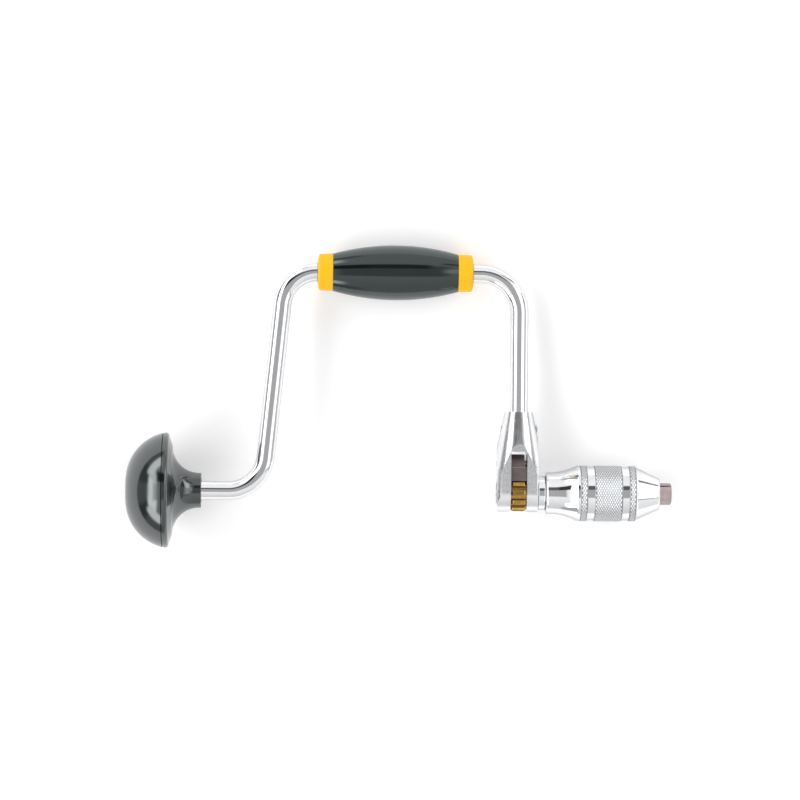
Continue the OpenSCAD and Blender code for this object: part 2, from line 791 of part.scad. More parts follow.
// Key between spindle and wheel, and the space it needs
key_top = seat_r + key_w / 2 - 0.1;
module key_space(gap) translate([box_x - 4 - gap, key_top - key_w - gap, -key_w / 2 - gap])
    cube([8 + 2 * gap, key_w + 2 * gap, key_w + 2 * gap]);
module wheel_key() color("silver") key_space(0);

// Pawl: hangs from its pin with the tip in a tooth gap, the tail at the spring and a lug on the cam
function polar_2d(r, a, t) = [r * cos(a) - t * sin(a), r * sin(a) + t * cos(a)];
ridge_y = pawl_y - 2.4;
ridge_z = box_r - 2.2;

module pawl_2d() difference() {
    union() {
        translate([pawl_y, pawl_z]) circle(r = pawl_pin_d / 2 + 0.9);
        polygon([
            [spring_y + 1.7, spring_seat_z],
            [spring_y + 1.7, pawl_z + 4.6],
            [pawl_y + 3.6, ridge_z - 3.4],
            [ridge_y, ridge_z],
            polar_2d(tip_root_r, tip_angle, tip_offset + tip_root_half),
            polar_2d(tip_mid_r, tip_angle, tip_offset + tip_half),
            polar_2d(tip_mid_r, tip_angle, tip_offset - tip_half),
            polar_2d(tip_root_r, tip_angle, tip_offset - tip_root_half),
            polar_2d(wheel_r + 1.6, tip_angle - 13, 0),
            polar_2d(wheel_r + 1.6, tip_angle - 26, 0),
            [pawl_y - 3.4, pawl_z - 2.2],
            [pawl_y, pawl_z - 1.5],
            [pawl_y + 2, pawl_z]
        ]);
    }
    translate([pawl_y, pawl_z]) circle(r = pawl_pin_d / 2 + run_gap);
}

// The lug reaches beside the wheel, from its root in the pawl down to the cam's rim
lug_tip_r = cam_r + 0.15;
lug_root_r = wheel_r + 0.8;
lug_end_r = wheel_r + 3.2;
lug_x = box_x + wheel_w / 2 + 0.15;
module lug_2d(tip_r) polygon([
    polar_2d(tip_r, lug_angle, -1),
    polar_2d(tip_r, lug_angle, 1),
    polar_2d(lug_end_r, lug_angle, 1.8),
    polar_2d(lug_end_r, lug_angle, -1.4)
]);

module pawl() difference() {
    union() {
        plate_x(box_x - pawl_w / 2, box_x + pawl_w / 2) pawl_2d();
        plate_x(box_x + pawl_w / 2 - 1, cam_x + cam_t) lug_2d(lug_root_r);
        plate_x(lug_x, cam_x + cam_t) lug_2d(lug_tip_r);
    }
    translate([box_x + pawl_w / 2 - 1.3, ridge_y + 0.2, 0]) cube([3, box_r, box_r]);
    translate([box_x, spring_y, 0]) cylinder(r = pocket_r, h = spring_half + 0.35);
}

module pawl_front() color("#7d6e6c") pawl();
module pawl_back() color("#7d6e6c") mirror([0, 0, 1]) pawl();

module pawl_spring() color("silver") translate([box_x, spring_y, 0]) coil(spring_turns, spring_rise);

// Selector: a cam plate in the right cheek, its sleeve through the cheek, and the ring outside
function cam_radius(a) = cam_r + cam_slope * max(-selector_throw - 4, lug_angle - abs(a)) * PI / 180;

module cam_sleeve() color("silver") difference() {
    union() {
        plate_x(cam_x, cam_x + cam_t) polygon([
            for (a = [-180:5:175]) [cam_radius(a) * cos(a), cam_radius(a) * sin(a)]
        ]);
        bar_x(sleeve_r, cam_x, ring_front_x - 0.5);
    }
    bar_x(journal_r + guide_gap, cam_x - 1, ring_front_x);
}

module selector_ring() color("gainsboro") turned() difference() {
    union() {
        ring_2d(sleeve_r + press_gap, ring_d / 2 - 0.9, ring_back_x, ring_front_x);
        ring_2d(sleeve_r + press_gap, ring_d / 2, ring_back_x + 0.9, ring_front_x - 0.9);
        for (x = [ring_back_x + 0.9, ring_front_x - 0.9])
            translate([ring_d / 2 - 0.9, x]) circle(r = 0.9);
    }
    ring_2d(0, sleeve_r + press_gap, ring_back_x - 1, ring_front_x + 1);
    ring_2d(0, sleeve_r + 1.7, ring_back_x - 1, ring_back_x + 0.5);
}

module friction_washer() color("silver") turned()
    ring_2d(sleeve_r + 0.1, sleeve_r + 1.5, box_right_x + 0.05, ring_back_x + 0.45);

// Spindle: tail, wheel seat, journal, collar and the core that carries shell and jaws
module spindle() color("silver") difference() {
    turned() polygon([
        [0, tail_x],
        [tail_r, tail_x],
        [tail_r, slot_left_x + 0.1],
        [seat_r, slot_left_x + 0.1],
        [seat_r, box_x + wheel_w / 2 + 0.05],
        [journal_r, box_x + wheel_w / 2 + 0.05],
        [journal_r, ring_front_x + 0.2],
        [core_r - 0.6, ring_front_x + 0.2],
        [core_r - 0.6, rear_x + 0.5],
        [core_r, rear_x + 1.1],
        [core_r, stop_x],
        [stop_r, stop_x],
        [stop_r, stop_x + stop_w],
        [core_r, stop_x + stop_w],
        [core_r, core_front_x - 0.5],
        [core_r - 0.5, core_front_x],
        [0, core_front_x]
    ]);
    bar_x(jaw_bore_r, core_floor_x, core_front_x + 1);
    bar_x(screw_r + press_gap, tail_x - 1, tail_x + tail_hole_len);
    key_space(0.05);
}

module tail_washer() color("silver") difference() {
    bar_x(washer_r, tail_x - washer_t, tail_x);
    bar_x(screw_r + 0.1, tail_x - washer_t - 1, tail_x + 1);
}

module tail_screw() color("gainsboro") difference() {
    union() {
        bar_x(screw_r, tail_x - washer_t - eps, tail_x + tail_hole_len - 0.5);
        turned() polygon([
            [0, tail_x - washer_t - screw_head_t],
            [screw_head_r - 0.9, tail_x - washer_t - screw_head_t],
            [screw_head_r, tail_x - washer_t - 1],
            [screw_head_r, tail_x - washer_t],
            [0, tail_x - washer_t]
        ]);
    }
    translate([tail_x - washer_t - screw_head_t - 1, -screw_head_r - 1, -0.5])
        cube([1.9, 2 * screw_head_r + 2, 1]);
}

// Chuck shell: bell, knurled ring, groove, knurled band and groove in one sleeve
module shell_2d() difference() {
    polygon([
        [thread_r, rear_x],
        for (a = [0:15:90]) [
            bell_end_r - bell_edge_r * (1 - sin(a)),
            rear_x + bell_edge_r * (1 - cos(a))
        ],
        [bell_end_r, rear_x + bell_land],
        [shell_r - 0.25, rear_x + bell_land],
        [shell_r - 0.25, bell_x],
        [shell_r, bell_x + 0.3],
        [shell_r, ring1_x - 0.3],
        [shell_r - 0.3, ring1_x],
        [lathe_r, ring1_x + 0.05],
        [lathe_r, groove1_x - 0.05],
        [shell_r - 0.3, groove1_x],
        [shell_r, groove1_x + 0.3],
        [shell_r, band_x - 0.3],
        [shell_r - 0.3, band_x],
        [lathe_r, band_x + 0.05],
        [lathe_r, groove2_x - 0.05],
        [joint_r + 0.05, groove2_x - 0.05],
        [joint_r + 0.05, groove2_x - joint_len],
        [cavity_r, groove2_x - joint_len],
        [cavity_r, bell_x],
        [thread_r, bell_x]
    ]);
    translate([bell_end_r + bell_r, rear_x + bell_land]) circle(r = bell_r, $fn = 240);
}

module chuck_shell() color("gainsboro") turned() shell_2d();

// Chuck nose: the front knurled ring and the cone, screwed into the shell by its spigot
module chuck_nose() color("gainsboro") difference() {
    turned() polygon([
        [cavity_r, groove2_x - joint_len + 0.1],
        [joint_r, groove2_x - joint_len + 0.1],
        [joint_r, groove2_x],
        [shell_r - 0.4, groove2_x],
        [shell_r - 0.1, groove2_x + 0.3],
        [shell_r - 0.1, ring2_x - 1],
        [shell_r - cone_step, ring2_x],
        [nose_r_front + 0.35, nose_x - 0.9],
        [nose_r_front - 0.6, nose_x],
        [nose_bore_r + 0.4, nose_x],
        [nose_bore_r, nose_x - 0.4],
        [nose_bore_r, land_x],
        [cavity_r, land_x]
    ]);
    turned() ring_2d(cavity_r - 1, cone_clip_r + 0.1, cone_clip_x - cone_clip_t - 0.05, cone_clip_x + 0.05);
    ball_groove(cone_ring_r, cone_ball_r, cone_ball_x);
}

module cone_clip() color("dimgray") difference() {
    turned() ring_2d(jaw_cone_r + 0.6, cone_clip_r, cone_clip_x - cone_clip_t, cone_clip_x);
    translate([cone_clip_x - cone_clip_t - 1, 0, -clip_slot_w / 2])
        cube([cone_clip_t + 2, cone_clip_r + 1, clip_slot_w]);
}

// Closing cone: squeezes the jaws' shoulders together as the shell draws it back
cone_play = 0.15;
cone_tan = tan(cone_angle);
function cone_bore(x) = jaw_cone_r + cone_play - (x - jaw_step_x) * cone_tan;
module closing_cone() color("silver") difference() {
    turned() polygon([
        [cone_bore(cone_back_x), cone_back_x],
        [cone_outer_r, cone_back_x],
        [cone_outer_r, cone_front_x],
        [cone_bore(cone_front_x), cone_front_x]
    ]);
    ball_groove(cone_ring_r, cone_ball_r, cone_ball_x);
}

module cone_balls() color("white") ball_ring(cone_ball_n, cone_ring_r, cone_ball_r, cone_ball_x);

// Jaws: half bars with a conical shoulder, a square groove and a round seat at the mouth
jaw_neck_x = jaw_step_x + (jaw_cone_r - jaw_r) / cone_tan;
module jaw_blank() turned() polygon([
    [0, jaw_tail_x],
    [jaw_tail_r - 0.5, jaw_tail_x],
    [jaw_tail_r, jaw_tail_x + 0.5],
    [jaw_tail_r, jaw_step_x - 1.5],
    [jaw_cone_r, jaw_step_x],
    [jaw_r, jaw_neck_x],
    [jaw_r, -0.8],
    [jaw_r - 0.8, 0],
    [0, 0]
]);

// The jaw on the positive side of the split, in the split's own frame
module jaw() difference() {
    jaw_blank();
    translate([jaw_tail_x - 1, jaw_gap / 2 - 2 * jaw_cone_r, -2 * jaw_cone_r])
        cube([4 - jaw_tail_x, 2 * jaw_cone_r, 4 * jaw_cone_r]);
    plate_x(-groove_len, 1) rotate(45) square(groove_corner * sqrt(2), center = true);
    bar_x(seat_bore_d / 2, -seat_bore_len, 1);
    translate([jaw_spring_x, 0, 0]) rotate([-90, 0, 0]) cylinder(r = pocket_r, h = spring_half + 0.3);
}

module jaw_a() color("#a58c8c") split_frame() jaw();
module jaw_b() color("#a58c8c") split_frame() mirror([0, 1, 0]) jaw();

module jaw_spring() color("silver") split_frame()
    translate([jaw_spring_x, 0, 0])
        rotate([-90, 0, 0])
            coil(spring_turns, spring_rise);

crank_rod();
arm_pin();
ratchet_box();
left_bush();
pawl_pin_front();
pawl_pin_back();
head_cap();
head_base();
neck_bush();
outer_race();
thrust_cage();
thrust_balls();
inner_race();
head_clip();
grip_front();
grip_back();
collar_left();
collar_right();
pawl_front();
pawl_back();
pawl_spring();
cam_sleeve();
selector_ring();
friction_washer();
spindle();
ratchet_wheel();
wheel_key();
tail_washer();
tail_screw();
chuck_shell();
chuck_nose();
cone_clip();
closing_cone();
cone_balls();
jaw_a();
jaw_b();
jaw_spring();
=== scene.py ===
"""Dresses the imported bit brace: fine edges, knurling, finishes, floor, light and camera.

Lengths in this file are millimetres until a mesh is made. The tool axis is X, the grip lies at
+Y and the camera looks down on the flat brace from +Z.
"""
import math

import bmesh
import bpy
from mathutils import Matrix, Vector


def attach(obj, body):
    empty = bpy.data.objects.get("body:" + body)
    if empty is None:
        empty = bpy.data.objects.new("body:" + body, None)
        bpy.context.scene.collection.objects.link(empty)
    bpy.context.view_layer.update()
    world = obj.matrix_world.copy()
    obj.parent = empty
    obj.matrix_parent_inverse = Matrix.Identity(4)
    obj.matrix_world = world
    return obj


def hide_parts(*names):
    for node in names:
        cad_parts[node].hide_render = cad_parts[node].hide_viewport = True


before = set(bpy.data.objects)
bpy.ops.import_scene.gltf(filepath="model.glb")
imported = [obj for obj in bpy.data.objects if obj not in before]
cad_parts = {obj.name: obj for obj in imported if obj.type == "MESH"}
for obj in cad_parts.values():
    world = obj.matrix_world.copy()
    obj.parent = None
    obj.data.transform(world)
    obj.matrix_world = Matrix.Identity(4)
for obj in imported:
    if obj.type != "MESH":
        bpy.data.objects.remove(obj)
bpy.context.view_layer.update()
MM = 0.001

# Clearances, as in the part's source: a press seat, a running fit, a guide, a free gap
PRESS_GAP, RUN_GAP, GUIDE_GAP, FREE_GAP = 0.02, 0.07, 0.1, 0.3
# Gap at each side of a seam, which shows as a fine line
GAP = 0.05

# Places along the tool axis, from the jaw tips back to the arm of the ratchet box
JAW_REACH, CONE_LEN, RING2_W, GROOVE_W, BAND_W, RING1_W, BELL_LEN = 8.2, 15.8, 5.5, 4.8, 19.1, 4.8, 23.3
RING_SPACE, RING_W = 0.4, 4.9
BOX_W, BOX_SHIFT = 28.0, 0.8
NOSE_X = -JAW_REACH
RING2_X = NOSE_X - CONE_LEN
GROOVE2_X = RING2_X - RING2_W
BAND_X = GROOVE2_X - GROOVE_W
GROOVE1_X = BAND_X - BAND_W
RING1_X = GROOVE1_X - GROOVE_W
BELL_X = RING1_X - RING1_W
REAR_X = BELL_X - BELL_LEN
RING_FRONT_X = REAR_X - RING_SPACE
RING_BACK_X = RING_FRONT_X - RING_W
BOX_RIGHT_X = RING_BACK_X - FREE_GAP
BOX_X = BOX_RIGHT_X - BOX_W / 2 + BOX_SHIFT

# Crank
ROD_R = 6.25
THROW = 150.0
ARM_LEAN = 5.8
LEAN_TURN = 90 - ARM_LEAN
GRIP_BEND_R, HEAD_BEND_R, BOX_BEND_R = 24.0, 25.5, 27.0
SOCKET_Y = 34.5
BEAD_R, BEAD_W, BEAD_ROOM = 7.8, 6.0, 0.3

# Grip
GRIP_LEN, GRIP_TO_BEND = 106.4, 5.0
GRIP_R, GRIP_END_R = 18.85, 12.95
GRIP_RIGHT_X = BOX_X - BOX_BEND_R - GRIP_TO_BEND
GRIP_LEFT_X = GRIP_RIGHT_X - GRIP_LEN
GRIP_MID_X = (GRIP_RIGHT_X + GRIP_LEFT_X) / 2
COLLAR_W, COLLAR_R, COLLAR_WALL, COLLAR_END, COLLAR_DOME = 10.4, 12.5, 3.0, 2.0, 0.9
COLLAR_BORE_R = COLLAR_R - COLLAR_WALL
BORE_R = ROD_R + GUIDE_GAP
NOSE_WALL, NOSE_OUT = 0.5, 0.3
NOSE_RING_R = BORE_R + NOSE_WALL

# Head, from its bend back to the crown
HALF_LEAN_TAN = math.tan(math.radians(LEAN_TURN / 2))
HEAD_CORNER_X = GRIP_LEFT_X - GRIP_BEND_R * HALF_LEAN_TAN - THROW * math.tan(math.radians(ARM_LEAN))
HEAD_BEND_X = HEAD_CORNER_X - HEAD_BEND_R * HALF_LEAN_TAN
HEAD_R, HEAD_WALL, NECK_R = 39.5, 4.0, 12.0
CROWN_R, FLARE_R, RIM_EDGE_R = 33.0, 18.5, 2.4
HEAD_TO_BEND, NECK_END, RIM_SLOPE, RIM_H, RIM_LEAD, CAP_H = 18.5, 1.2, 2.2, 4.3, 1.6, 25.5
NECK_X = HEAD_BEND_X - HEAD_TO_BEND
FLARE_X = NECK_X - NECK_END
RIM_SLOPE_X = FLARE_X - FLARE_R
RIM_BACK_X = RIM_SLOPE_X - RIM_SLOPE
PART_X = RIM_BACK_X - RIM_H
RIM_LEAD_X = PART_X + RIM_LEAD
APEX_X = PART_X - CAP_H
SEAM_IN = 0.28
SEAM_R = HEAD_R - SEAM_IN
CROWN_FLAT_R = SEAM_R - math.sqrt(CROWN_R ** 2 - (CROWN_R - CAP_H) ** 2)
LIP_R, LIP_WALL, LIP_LEN = HEAD_R - HEAD_WALL + 0.5, 2.3, 3.2
LIP_INNER_R = LIP_R - LIP_WALL

# Bearing and clip of the head
RACE_R, RACE_H, RACE_SPACE, BEARING_DROP = 11.0, 3.0, 4.0, 2.0
BOSS_WALL, SPIGOT_SHARE = 3.0, 0.72
CLIP_RISE, CLIP_T, CLIP_GROOVE = 2.2, 1.0, 0.7
BUSH_WALL, BUSH_FLANGE = 2.3, 2.0
SHOULDER_X = PART_X - BEARING_DROP
INNER_FACE_X = SHOULDER_X - RACE_H
OUTER_FACE_X = INNER_FACE_X - RACE_SPACE
OUTER_BACK_X = OUTER_FACE_X - RACE_H
BOSS_R = RACE_R + BOSS_WALL
SPIGOT_R = ROD_R * SPIGOT_SHARE
SPIGOT_END_X = INNER_FACE_X - 0.5
CLIP_X, CLIP_GROOVE_R = PART_X + CLIP_RISE, ROD_R - CLIP_GROOVE
BUSH_R = ROD_R + RUN_GAP + BUSH_WALL
BUSH_BACK_X = CLIP_X + CLIP_T + FREE_GAP + BUSH_FLANGE

# Ratchet box, its pin and the selector ring
SLOT_HALF_W, SLOT_TOP = 5.5, 28.3
PIN_Y, PIN_R, PIN_HEAD_R, PIN_HEAD_T = 43.8, 2.5, 2.75, 0.9
PIN_REACH, PIN_HEAD_SINK = 12.26, 1.0
PIN_LEFT_X, PIN_RIGHT_X = BOX_X - PIN_REACH, BOX_X + PIN_REACH
PIN_SEAT_X = PIN_RIGHT_X - PIN_HEAD_SINK
RING_R, SLEEVE_R = 11.65, 8.6

# Chuck
SHELL_R, GROOVE_DEPTH = 19.25, 0.8
LATHE_R = SHELL_R - GROOVE_DEPTH
BELL_END_R, BELL_R, BELL_EDGE_R, BELL_LAND = 14.25, 37.0, 1.6, 3.3
CONE_STEP, CHAMFER_LEN = 1.4, 1.0
CHAMFER_X = RING2_X - CHAMFER_LEN
NOSE_R, NOSE_BORE_R, THREAD_R, CAVITY_R = 10.75, 9.4, 11.6, 14.5
JOINT_R, JOINT_LEN = (CAVITY_R + LATHE_R) / 2, 10.5
LAND_X = NOSE_X - 12.7
KNURL_PITCH, KNURL_DEPTH, KNURL_EDGE, KNURL_CHAMFER = 1.65, 0.36, 0.35, 0.21
KNURL_FOOT_R = LATHE_R - 0.6
PLAIN_R = KNURL_FOOT_R + 0.1


# Mesh helpers
def to_object(name, bm, material, body, stands_for, sharp=32):
    """Makes a riding piece from a mesh in millimetres."""
    weld = 1e-4
    bmesh.ops.remove_doubles(bm, verts=bm.verts, dist=weld)
    bmesh.ops.recalc_face_normals(bm, faces=bm.faces)
    bmesh.ops.scale(bm, vec=(MM, MM, MM), verts=bm.verts)
    mesh = bpy.data.meshes.new(name)
    bm.to_mesh(mesh)
    bm.free()
    return place(name, mesh, material, body, stands_for, sharp)


def place(name, mesh, material, body, stands_for, sharp):
    """Links a riding piece that stands for a CAD node, gives it its finishes and hides the node."""
    mesh.shade_smooth()
    mesh.set_sharp_from_angle(angle=math.radians(sharp))
    obj = bpy.data.objects.new(name, mesh)
    bpy.context.scene.collection.objects.link(obj)
    for m in material if isinstance(material, list) else [material]:
        mesh.materials.append(m)
    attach(obj, body)
    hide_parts(stands_for)
    return obj


def arc(cx, cr, radius, start, end, steps):
    """Points (x, r) on a circle about (cx, cr); angles in degrees, from +x towards +r."""
    turn = [math.radians(start + (end - start) * i / steps) for i in range(steps + 1)]
    return [(cx + radius * math.cos(t), cr + radius * math.sin(t)) for t in turn]


def soften(points, closed=True, steps=4):
    """Rounds each corner given as (x, r, fillet), by less than half of either side."""
    most = 0.48
    out = []
    n = len(points)
    for i, p in enumerate(points):
        if len(p) < 3 or not p[2] or (not closed and i in (0, n - 1)):
            out.append((p[0], p[1]))
            continue
        here = Vector(p[:2])
        back, ahead = Vector(points[i - 1][:2]) - here, Vector(points[(i + 1) % n][:2]) - here
        reach = min(p[2], back.length * most, ahead.length * most)
        a, b = here + back.normalized() * reach, here + ahead.normalized() * reach
        for k in range(steps + 1):
            t = k / steps
            q = a.lerp(here, t).lerp(here.lerp(b, t), t)
            out.append((q.x, q.y))
    return out


def lathe(points, closed=True, y=0.0, steps=160, start=0.0, end=360.0):
    """Turns a profile of (x, r) about an X-wise axis at height y; part turns are capped."""
    bm = bmesh.new()
    full = abs(end - start) > 359.9
    rings = []
    for k in range(steps if full else steps + 1):
        t = math.radians(start + (end - start) * k / steps)
        c, s = math.cos(t), math.sin(t)
        rings.append([bm.verts.new((x, y + r * c, r * s)) for x, r in points])
    n = len(points)
    for k in range(len(rings) if full else len(rings) - 1):
        a, b = rings[k], rings[(k + 1) % len(rings)]
        for i in range(n if closed else n - 1):
            j = (i + 1) % n
            bm.faces.new((a[i], a[j], b[j], b[i]))
    if not full:
        bm.faces.new(rings[0])
        bm.faces.new(reversed(rings[-1]))
    return bm


def knurl(x0, x1, outer_r, inner_r):
    """A ring with a diamond knurl: peaks and groove crossings on one lattice, split along the grooves."""
    bm = bmesh.new()
    crest = bm.verts.layers.float.new("crest")
    around = 2 * round(math.pi * outer_r / KNURL_PITCH)
    width = x1 - x0 - 2 * KNURL_EDGE
    rows = max(2, round(width / (KNURL_PITCH / 2)))
    length = width / rows

    def circle(x, r):
        turns = [2 * math.pi * j / around for j in range(around)]
        return [bm.verts.new((x, r * math.cos(t), r * math.sin(t))) for t in turns]

    grid = []
    for i in range(rows + 1):
        x = x0 + KNURL_EDGE + length * i
        rim = i in (0, rows)
        ring = []
        for j in range(around):
            t = 2 * math.pi * j / around
            low = rim or (i + j) % 2
            r = outer_r - (KNURL_DEPTH if low else 0)
            v = bm.verts.new((x, r * math.cos(t), r * math.sin(t)))
            v[crest] = 0.0 if low else 1.0
            ring.append(v)
        grid.append(ring)
    for i in range(rows):
        for j in range(around):
            k = (j + 1) % around
            a, b, c, d = grid[i][j], grid[i][k], grid[i + 1][k], grid[i + 1][j]
            if (i + j) % 2:
                bm.faces.new((a, b, c))
                bm.faces.new((a, c, d))
            else:
                bm.faces.new((a, b, d))
                bm.faces.new((b, c, d))

    shoulder_r = outer_r - KNURL_DEPTH - KNURL_CHAMFER
    edges = [grid[0], circle(x0, shoulder_r), circle(x0, inner_r),
             circle(x1, inner_r), circle(x1, shoulder_r), grid[-1]]
    for a, b in zip(edges, edges[1:]):
        for j in range(around):
            k = (j + 1) % around
            bm.faces.new((a[j], a[k], b[k], b[j]))
    return bm


def sweep(path, around=56):
    """A round bar along a flat path of (x, y, radius, heading in degrees)."""
    bm = bmesh.new()
    rings = []
    turns = [2 * math.pi * k / around for k in range(around)]
    up = Vector((0, 0, 1))
    for x, y, r, heading in path:
        h = math.radians(heading)
        side = Vector((-math.sin(h), math.cos(h), 0))
        centre = Vector((x, y, 0))
        rings.append([bm.verts.new(centre + r * (math.cos(t) * side + math.sin(t) * up)) for t in turns])
    for a, b in zip(rings, rings[1:]):
        for k in range(around):
            m = (k + 1) % around
            bm.faces.new((a[k], a[m], b[m], b[k]))
    bm.faces.new(reversed(rings[0]))
    bm.faces.new(rings[-1])
    return bm


def fine_edges(node, body, material, width, segments=2, shortest=0.0, face_material=None):
    """A copy of a CAD node with its sharp edges rounded, from a given length in millimetres on.

    face_material picks a finish for each face. Without it, a second finish goes on the rounded edges.
    """
    weld, flat, sharp_edge, sharp_shading = 0.002, 0.6, 24, 26
    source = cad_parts[node]
    bm = bmesh.new()
    bm.from_mesh(source.data)
    bmesh.ops.transform(bm, matrix=source.matrix_world, verts=bm.verts)
    bmesh.ops.remove_doubles(bm, verts=bm.verts, dist=weld * MM)
    bmesh.ops.dissolve_limit(bm, angle_limit=math.radians(flat), verts=bm.verts, edges=bm.edges)
    rounded = bm.edges.layers.float.new("bevel_weight_edge")
    for e in bm.edges:
        is_sharp = e.calc_face_angle(0) > math.radians(sharp_edge)
        e[rounded] = float(is_sharp and e.calc_length() > shortest * MM)
    if face_material:
        for f in bm.faces:
            f.material_index = face_material(f)
    mesh = bpy.data.meshes.new(node + "_fine")
    bm.to_mesh(mesh)
    bm.free()
    obj = place(node + "_fine", mesh, material, body, node, sharp_shading)
    bevel = obj.modifiers.new("edges", "BEVEL")
    bevel.width = width * MM
    bevel.segments = segments
    bevel.limit_method = "WEIGHT"
    bevel.use_clamp_overlap = True
    bevel.harden_normals = True
    if not face_material and len(obj.data.materials) > 1:
        bevel.material = 1
    bevel.miter_outer = "MITER_ARC"
    return obj


# Materials
def shader(name):
    """A new material with its node tree and its surface shader."""
    material = bpy.data.materials.new(name)
    material.use_nodes = True
    tree = material.node_tree
    return material, tree, tree.nodes["Principled BSDF"]


def noise(tree, scale, detail=3.0, rough=0.55, stretch=(1, 1, 1)):
    """Noise in object space; scale counts features per metre."""
    where = tree.nodes.new("ShaderNodeTexCoord")
    mapping = tree.nodes.new("ShaderNodeMapping")
    mapping.inputs["Scale"].default_value = stretch
    out = tree.nodes.new("ShaderNodeTexNoise")
    out.inputs["Scale"].default_value = scale
    out.inputs["Detail"].default_value = detail
    out.inputs["Roughness"].default_value = rough
    tree.links.new(where.outputs["Object"], mapping.inputs["Vector"])
    tree.links.new(mapping.outputs["Vector"], out.inputs["Vector"])
    return out.outputs["Fac"]


def ramp(tree, value, stops):
    """Turns a value into a colour; a stop is its place and a colour, or one number for a grey."""
    node = tree.nodes.new("ShaderNodeValToRGB")
    ends = node.color_ramp.elements
    while len(ends) < len(stops):
        ends.new(0.5)
    for e, (at, colour) in zip(ends, stops):
        e.position = at
        e.color = (*colour, 1) if isinstance(colour, tuple) else (colour, colour, colour, 1)
    tree.links.new(value, node.inputs["Fac"])
    return node.outputs["Color"]


def span(tree, value, low, high):
    """Stretches a noise, which stays mostly between 0.3 and 0.7, over low to high."""
    node = tree.nodes.new("ShaderNodeMapRange")
    node.inputs["From Min"].default_value = 0.3
    node.inputs["From Max"].default_value = 0.7
    node.inputs["To Min"].default_value = low
    node.inputs["To Max"].default_value = high
    tree.links.new(value, node.inputs["Value"])
    return node.outputs["Result"]


def bump(tree, bsdf, heights):
    """heights is [(value, strength, distance in mm)], stacked."""
    last = None
    for value, strength, distance in heights:
        node = tree.nodes.new("ShaderNodeBump")
        node.inputs["Strength"].default_value = strength
        node.inputs["Distance"].default_value = distance * MM
        tree.links.new(value, node.inputs["Height"])
        if last:
            tree.links.new(last, node.inputs["Normal"])
        last = node.outputs["Normal"]
    tree.links.new(last, bsdf.inputs["Normal"])


def mean(tree, a, b):
    """Halfway between two values."""
    total = tree.nodes.new("ShaderNodeMath")
    total.operation = "ADD"
    half = tree.nodes.new("ShaderNodeMath")
    half.operation = "MULTIPLY"
    half.inputs[1].default_value = 0.5
    tree.links.new(a, total.inputs[0])
    tree.links.new(b, total.inputs[1])
    tree.links.new(total.outputs[0], half.inputs[0])
    return half.outputs[0]


def overlay(tree, colour, tone, share):
    """Lays one tone over a colour where share is 1."""
    node = tree.nodes.new("ShaderNodeMix")
    node.data_type = "RGBA"
    tree.links.new(share, node.inputs["Factor"])
    tree.links.new(colour, node.inputs["A"])
    node.inputs["B"].default_value = (*tone, 1)
    return node.outputs["Result"]


def grooves(tree):
    """1 in the grooves of a knurl, 0 on its peaks."""
    lattice = tree.nodes.new("ShaderNodeAttribute")
    lattice.attribute_name = "crest"
    return ramp(tree, lattice.outputs["Fac"], [(0.1, 1.0), (0.6, 0.0)])


def finish(name, slot, dark, light, rough, metallic=1.0, grain=900, grain_depth=0.004, patch=60,
           stretch=(1, 1, 1), specular=0.5, tint=None, ior=None, groove_shade=None):
    """A surface with colour patches, a fine grain and roughness that follows both.

    grain and patch count features per metre, and stretch draws the grain out along one axis.
    """
    dark_at, light_at = 0.38, 0.62
    grain_bump, patch_bump, patch_rise = 0.35, 0.15, 4
    material, tree, bsdf = shader(name)
    material["slot"] = slot
    patches = noise(tree, patch, detail=4, rough=0.6)
    fine = noise(tree, grain, detail=4, rough=0.65, stretch=stretch)
    both = mean(tree, patches, fine)
    colour = ramp(tree, both, [(dark_at, dark), (light_at, light)])
    # Painted shade: a darker tone laid on the grooves of a knurl
    if groove_shade:
        colour = overlay(tree, colour, groove_shade, grooves(tree))
    tree.links.new(colour, bsdf.inputs["Base Color"])
    tree.links.new(span(tree, both, *rough), bsdf.inputs["Roughness"])
    bsdf.inputs["Metallic"].default_value = metallic
    bsdf.inputs["Specular IOR Level"].default_value = specular
    if tint:
        bsdf.inputs["Specular Tint"].default_value = (*tint, 1)
    if ior:
        bsdf.inputs["IOR"].default_value = ior
    bump(tree, bsdf, [(fine, grain_bump, grain_depth), (patches, patch_bump, grain_depth * patch_rise)])
    return material


# The plating reflects less at its limbs, and the black mouldings reflect a little blue-green
LIMB = (0.6, 0.6, 0.6)
GRIP_TINT, HEAD_TINT = (0.86, 1.0, 1.0), (0.95, 1.0, 1.0)
PLATE = finish("plated_steel", "plated_steel", (0.84, 0.85, 0.86), (0.91, 0.91, 0.92), (0.035, 0.075),
               grain=700, grain_depth=0.0008, patch=45, tint=LIMB)
BRIGHT_CASTING = finish("plated_casting_bright", "plated_casting", (0.80, 0.81, 0.82), (0.90, 0.90, 0.91),
                        (0.20, 0.27), grain=1500, grain_depth=0.03, patch=80, stretch=(0.05, 1, 0.05),
                        tint=LIMB)
SATIN_CASTING = finish("plated_casting_satin", "plated_casting", (0.66, 0.67, 0.68), (0.96, 0.96, 0.97),
                       (0.30, 0.42), grain=1600, grain_depth=0.05, patch=900, stretch=(1, 0.3, 1))
# Painted shade: a dark copy of the casting, laid on the walls of the slot where shade falls
PAINTED_SLOT_SHADE = finish("casting_painted_slot_shade", "plated_casting", (0.10, 0.105, 0.11), (0.17, 0.175, 0.18), (0.35, 0.5),
                grain=1300, grain_depth=0.03, patch=300)
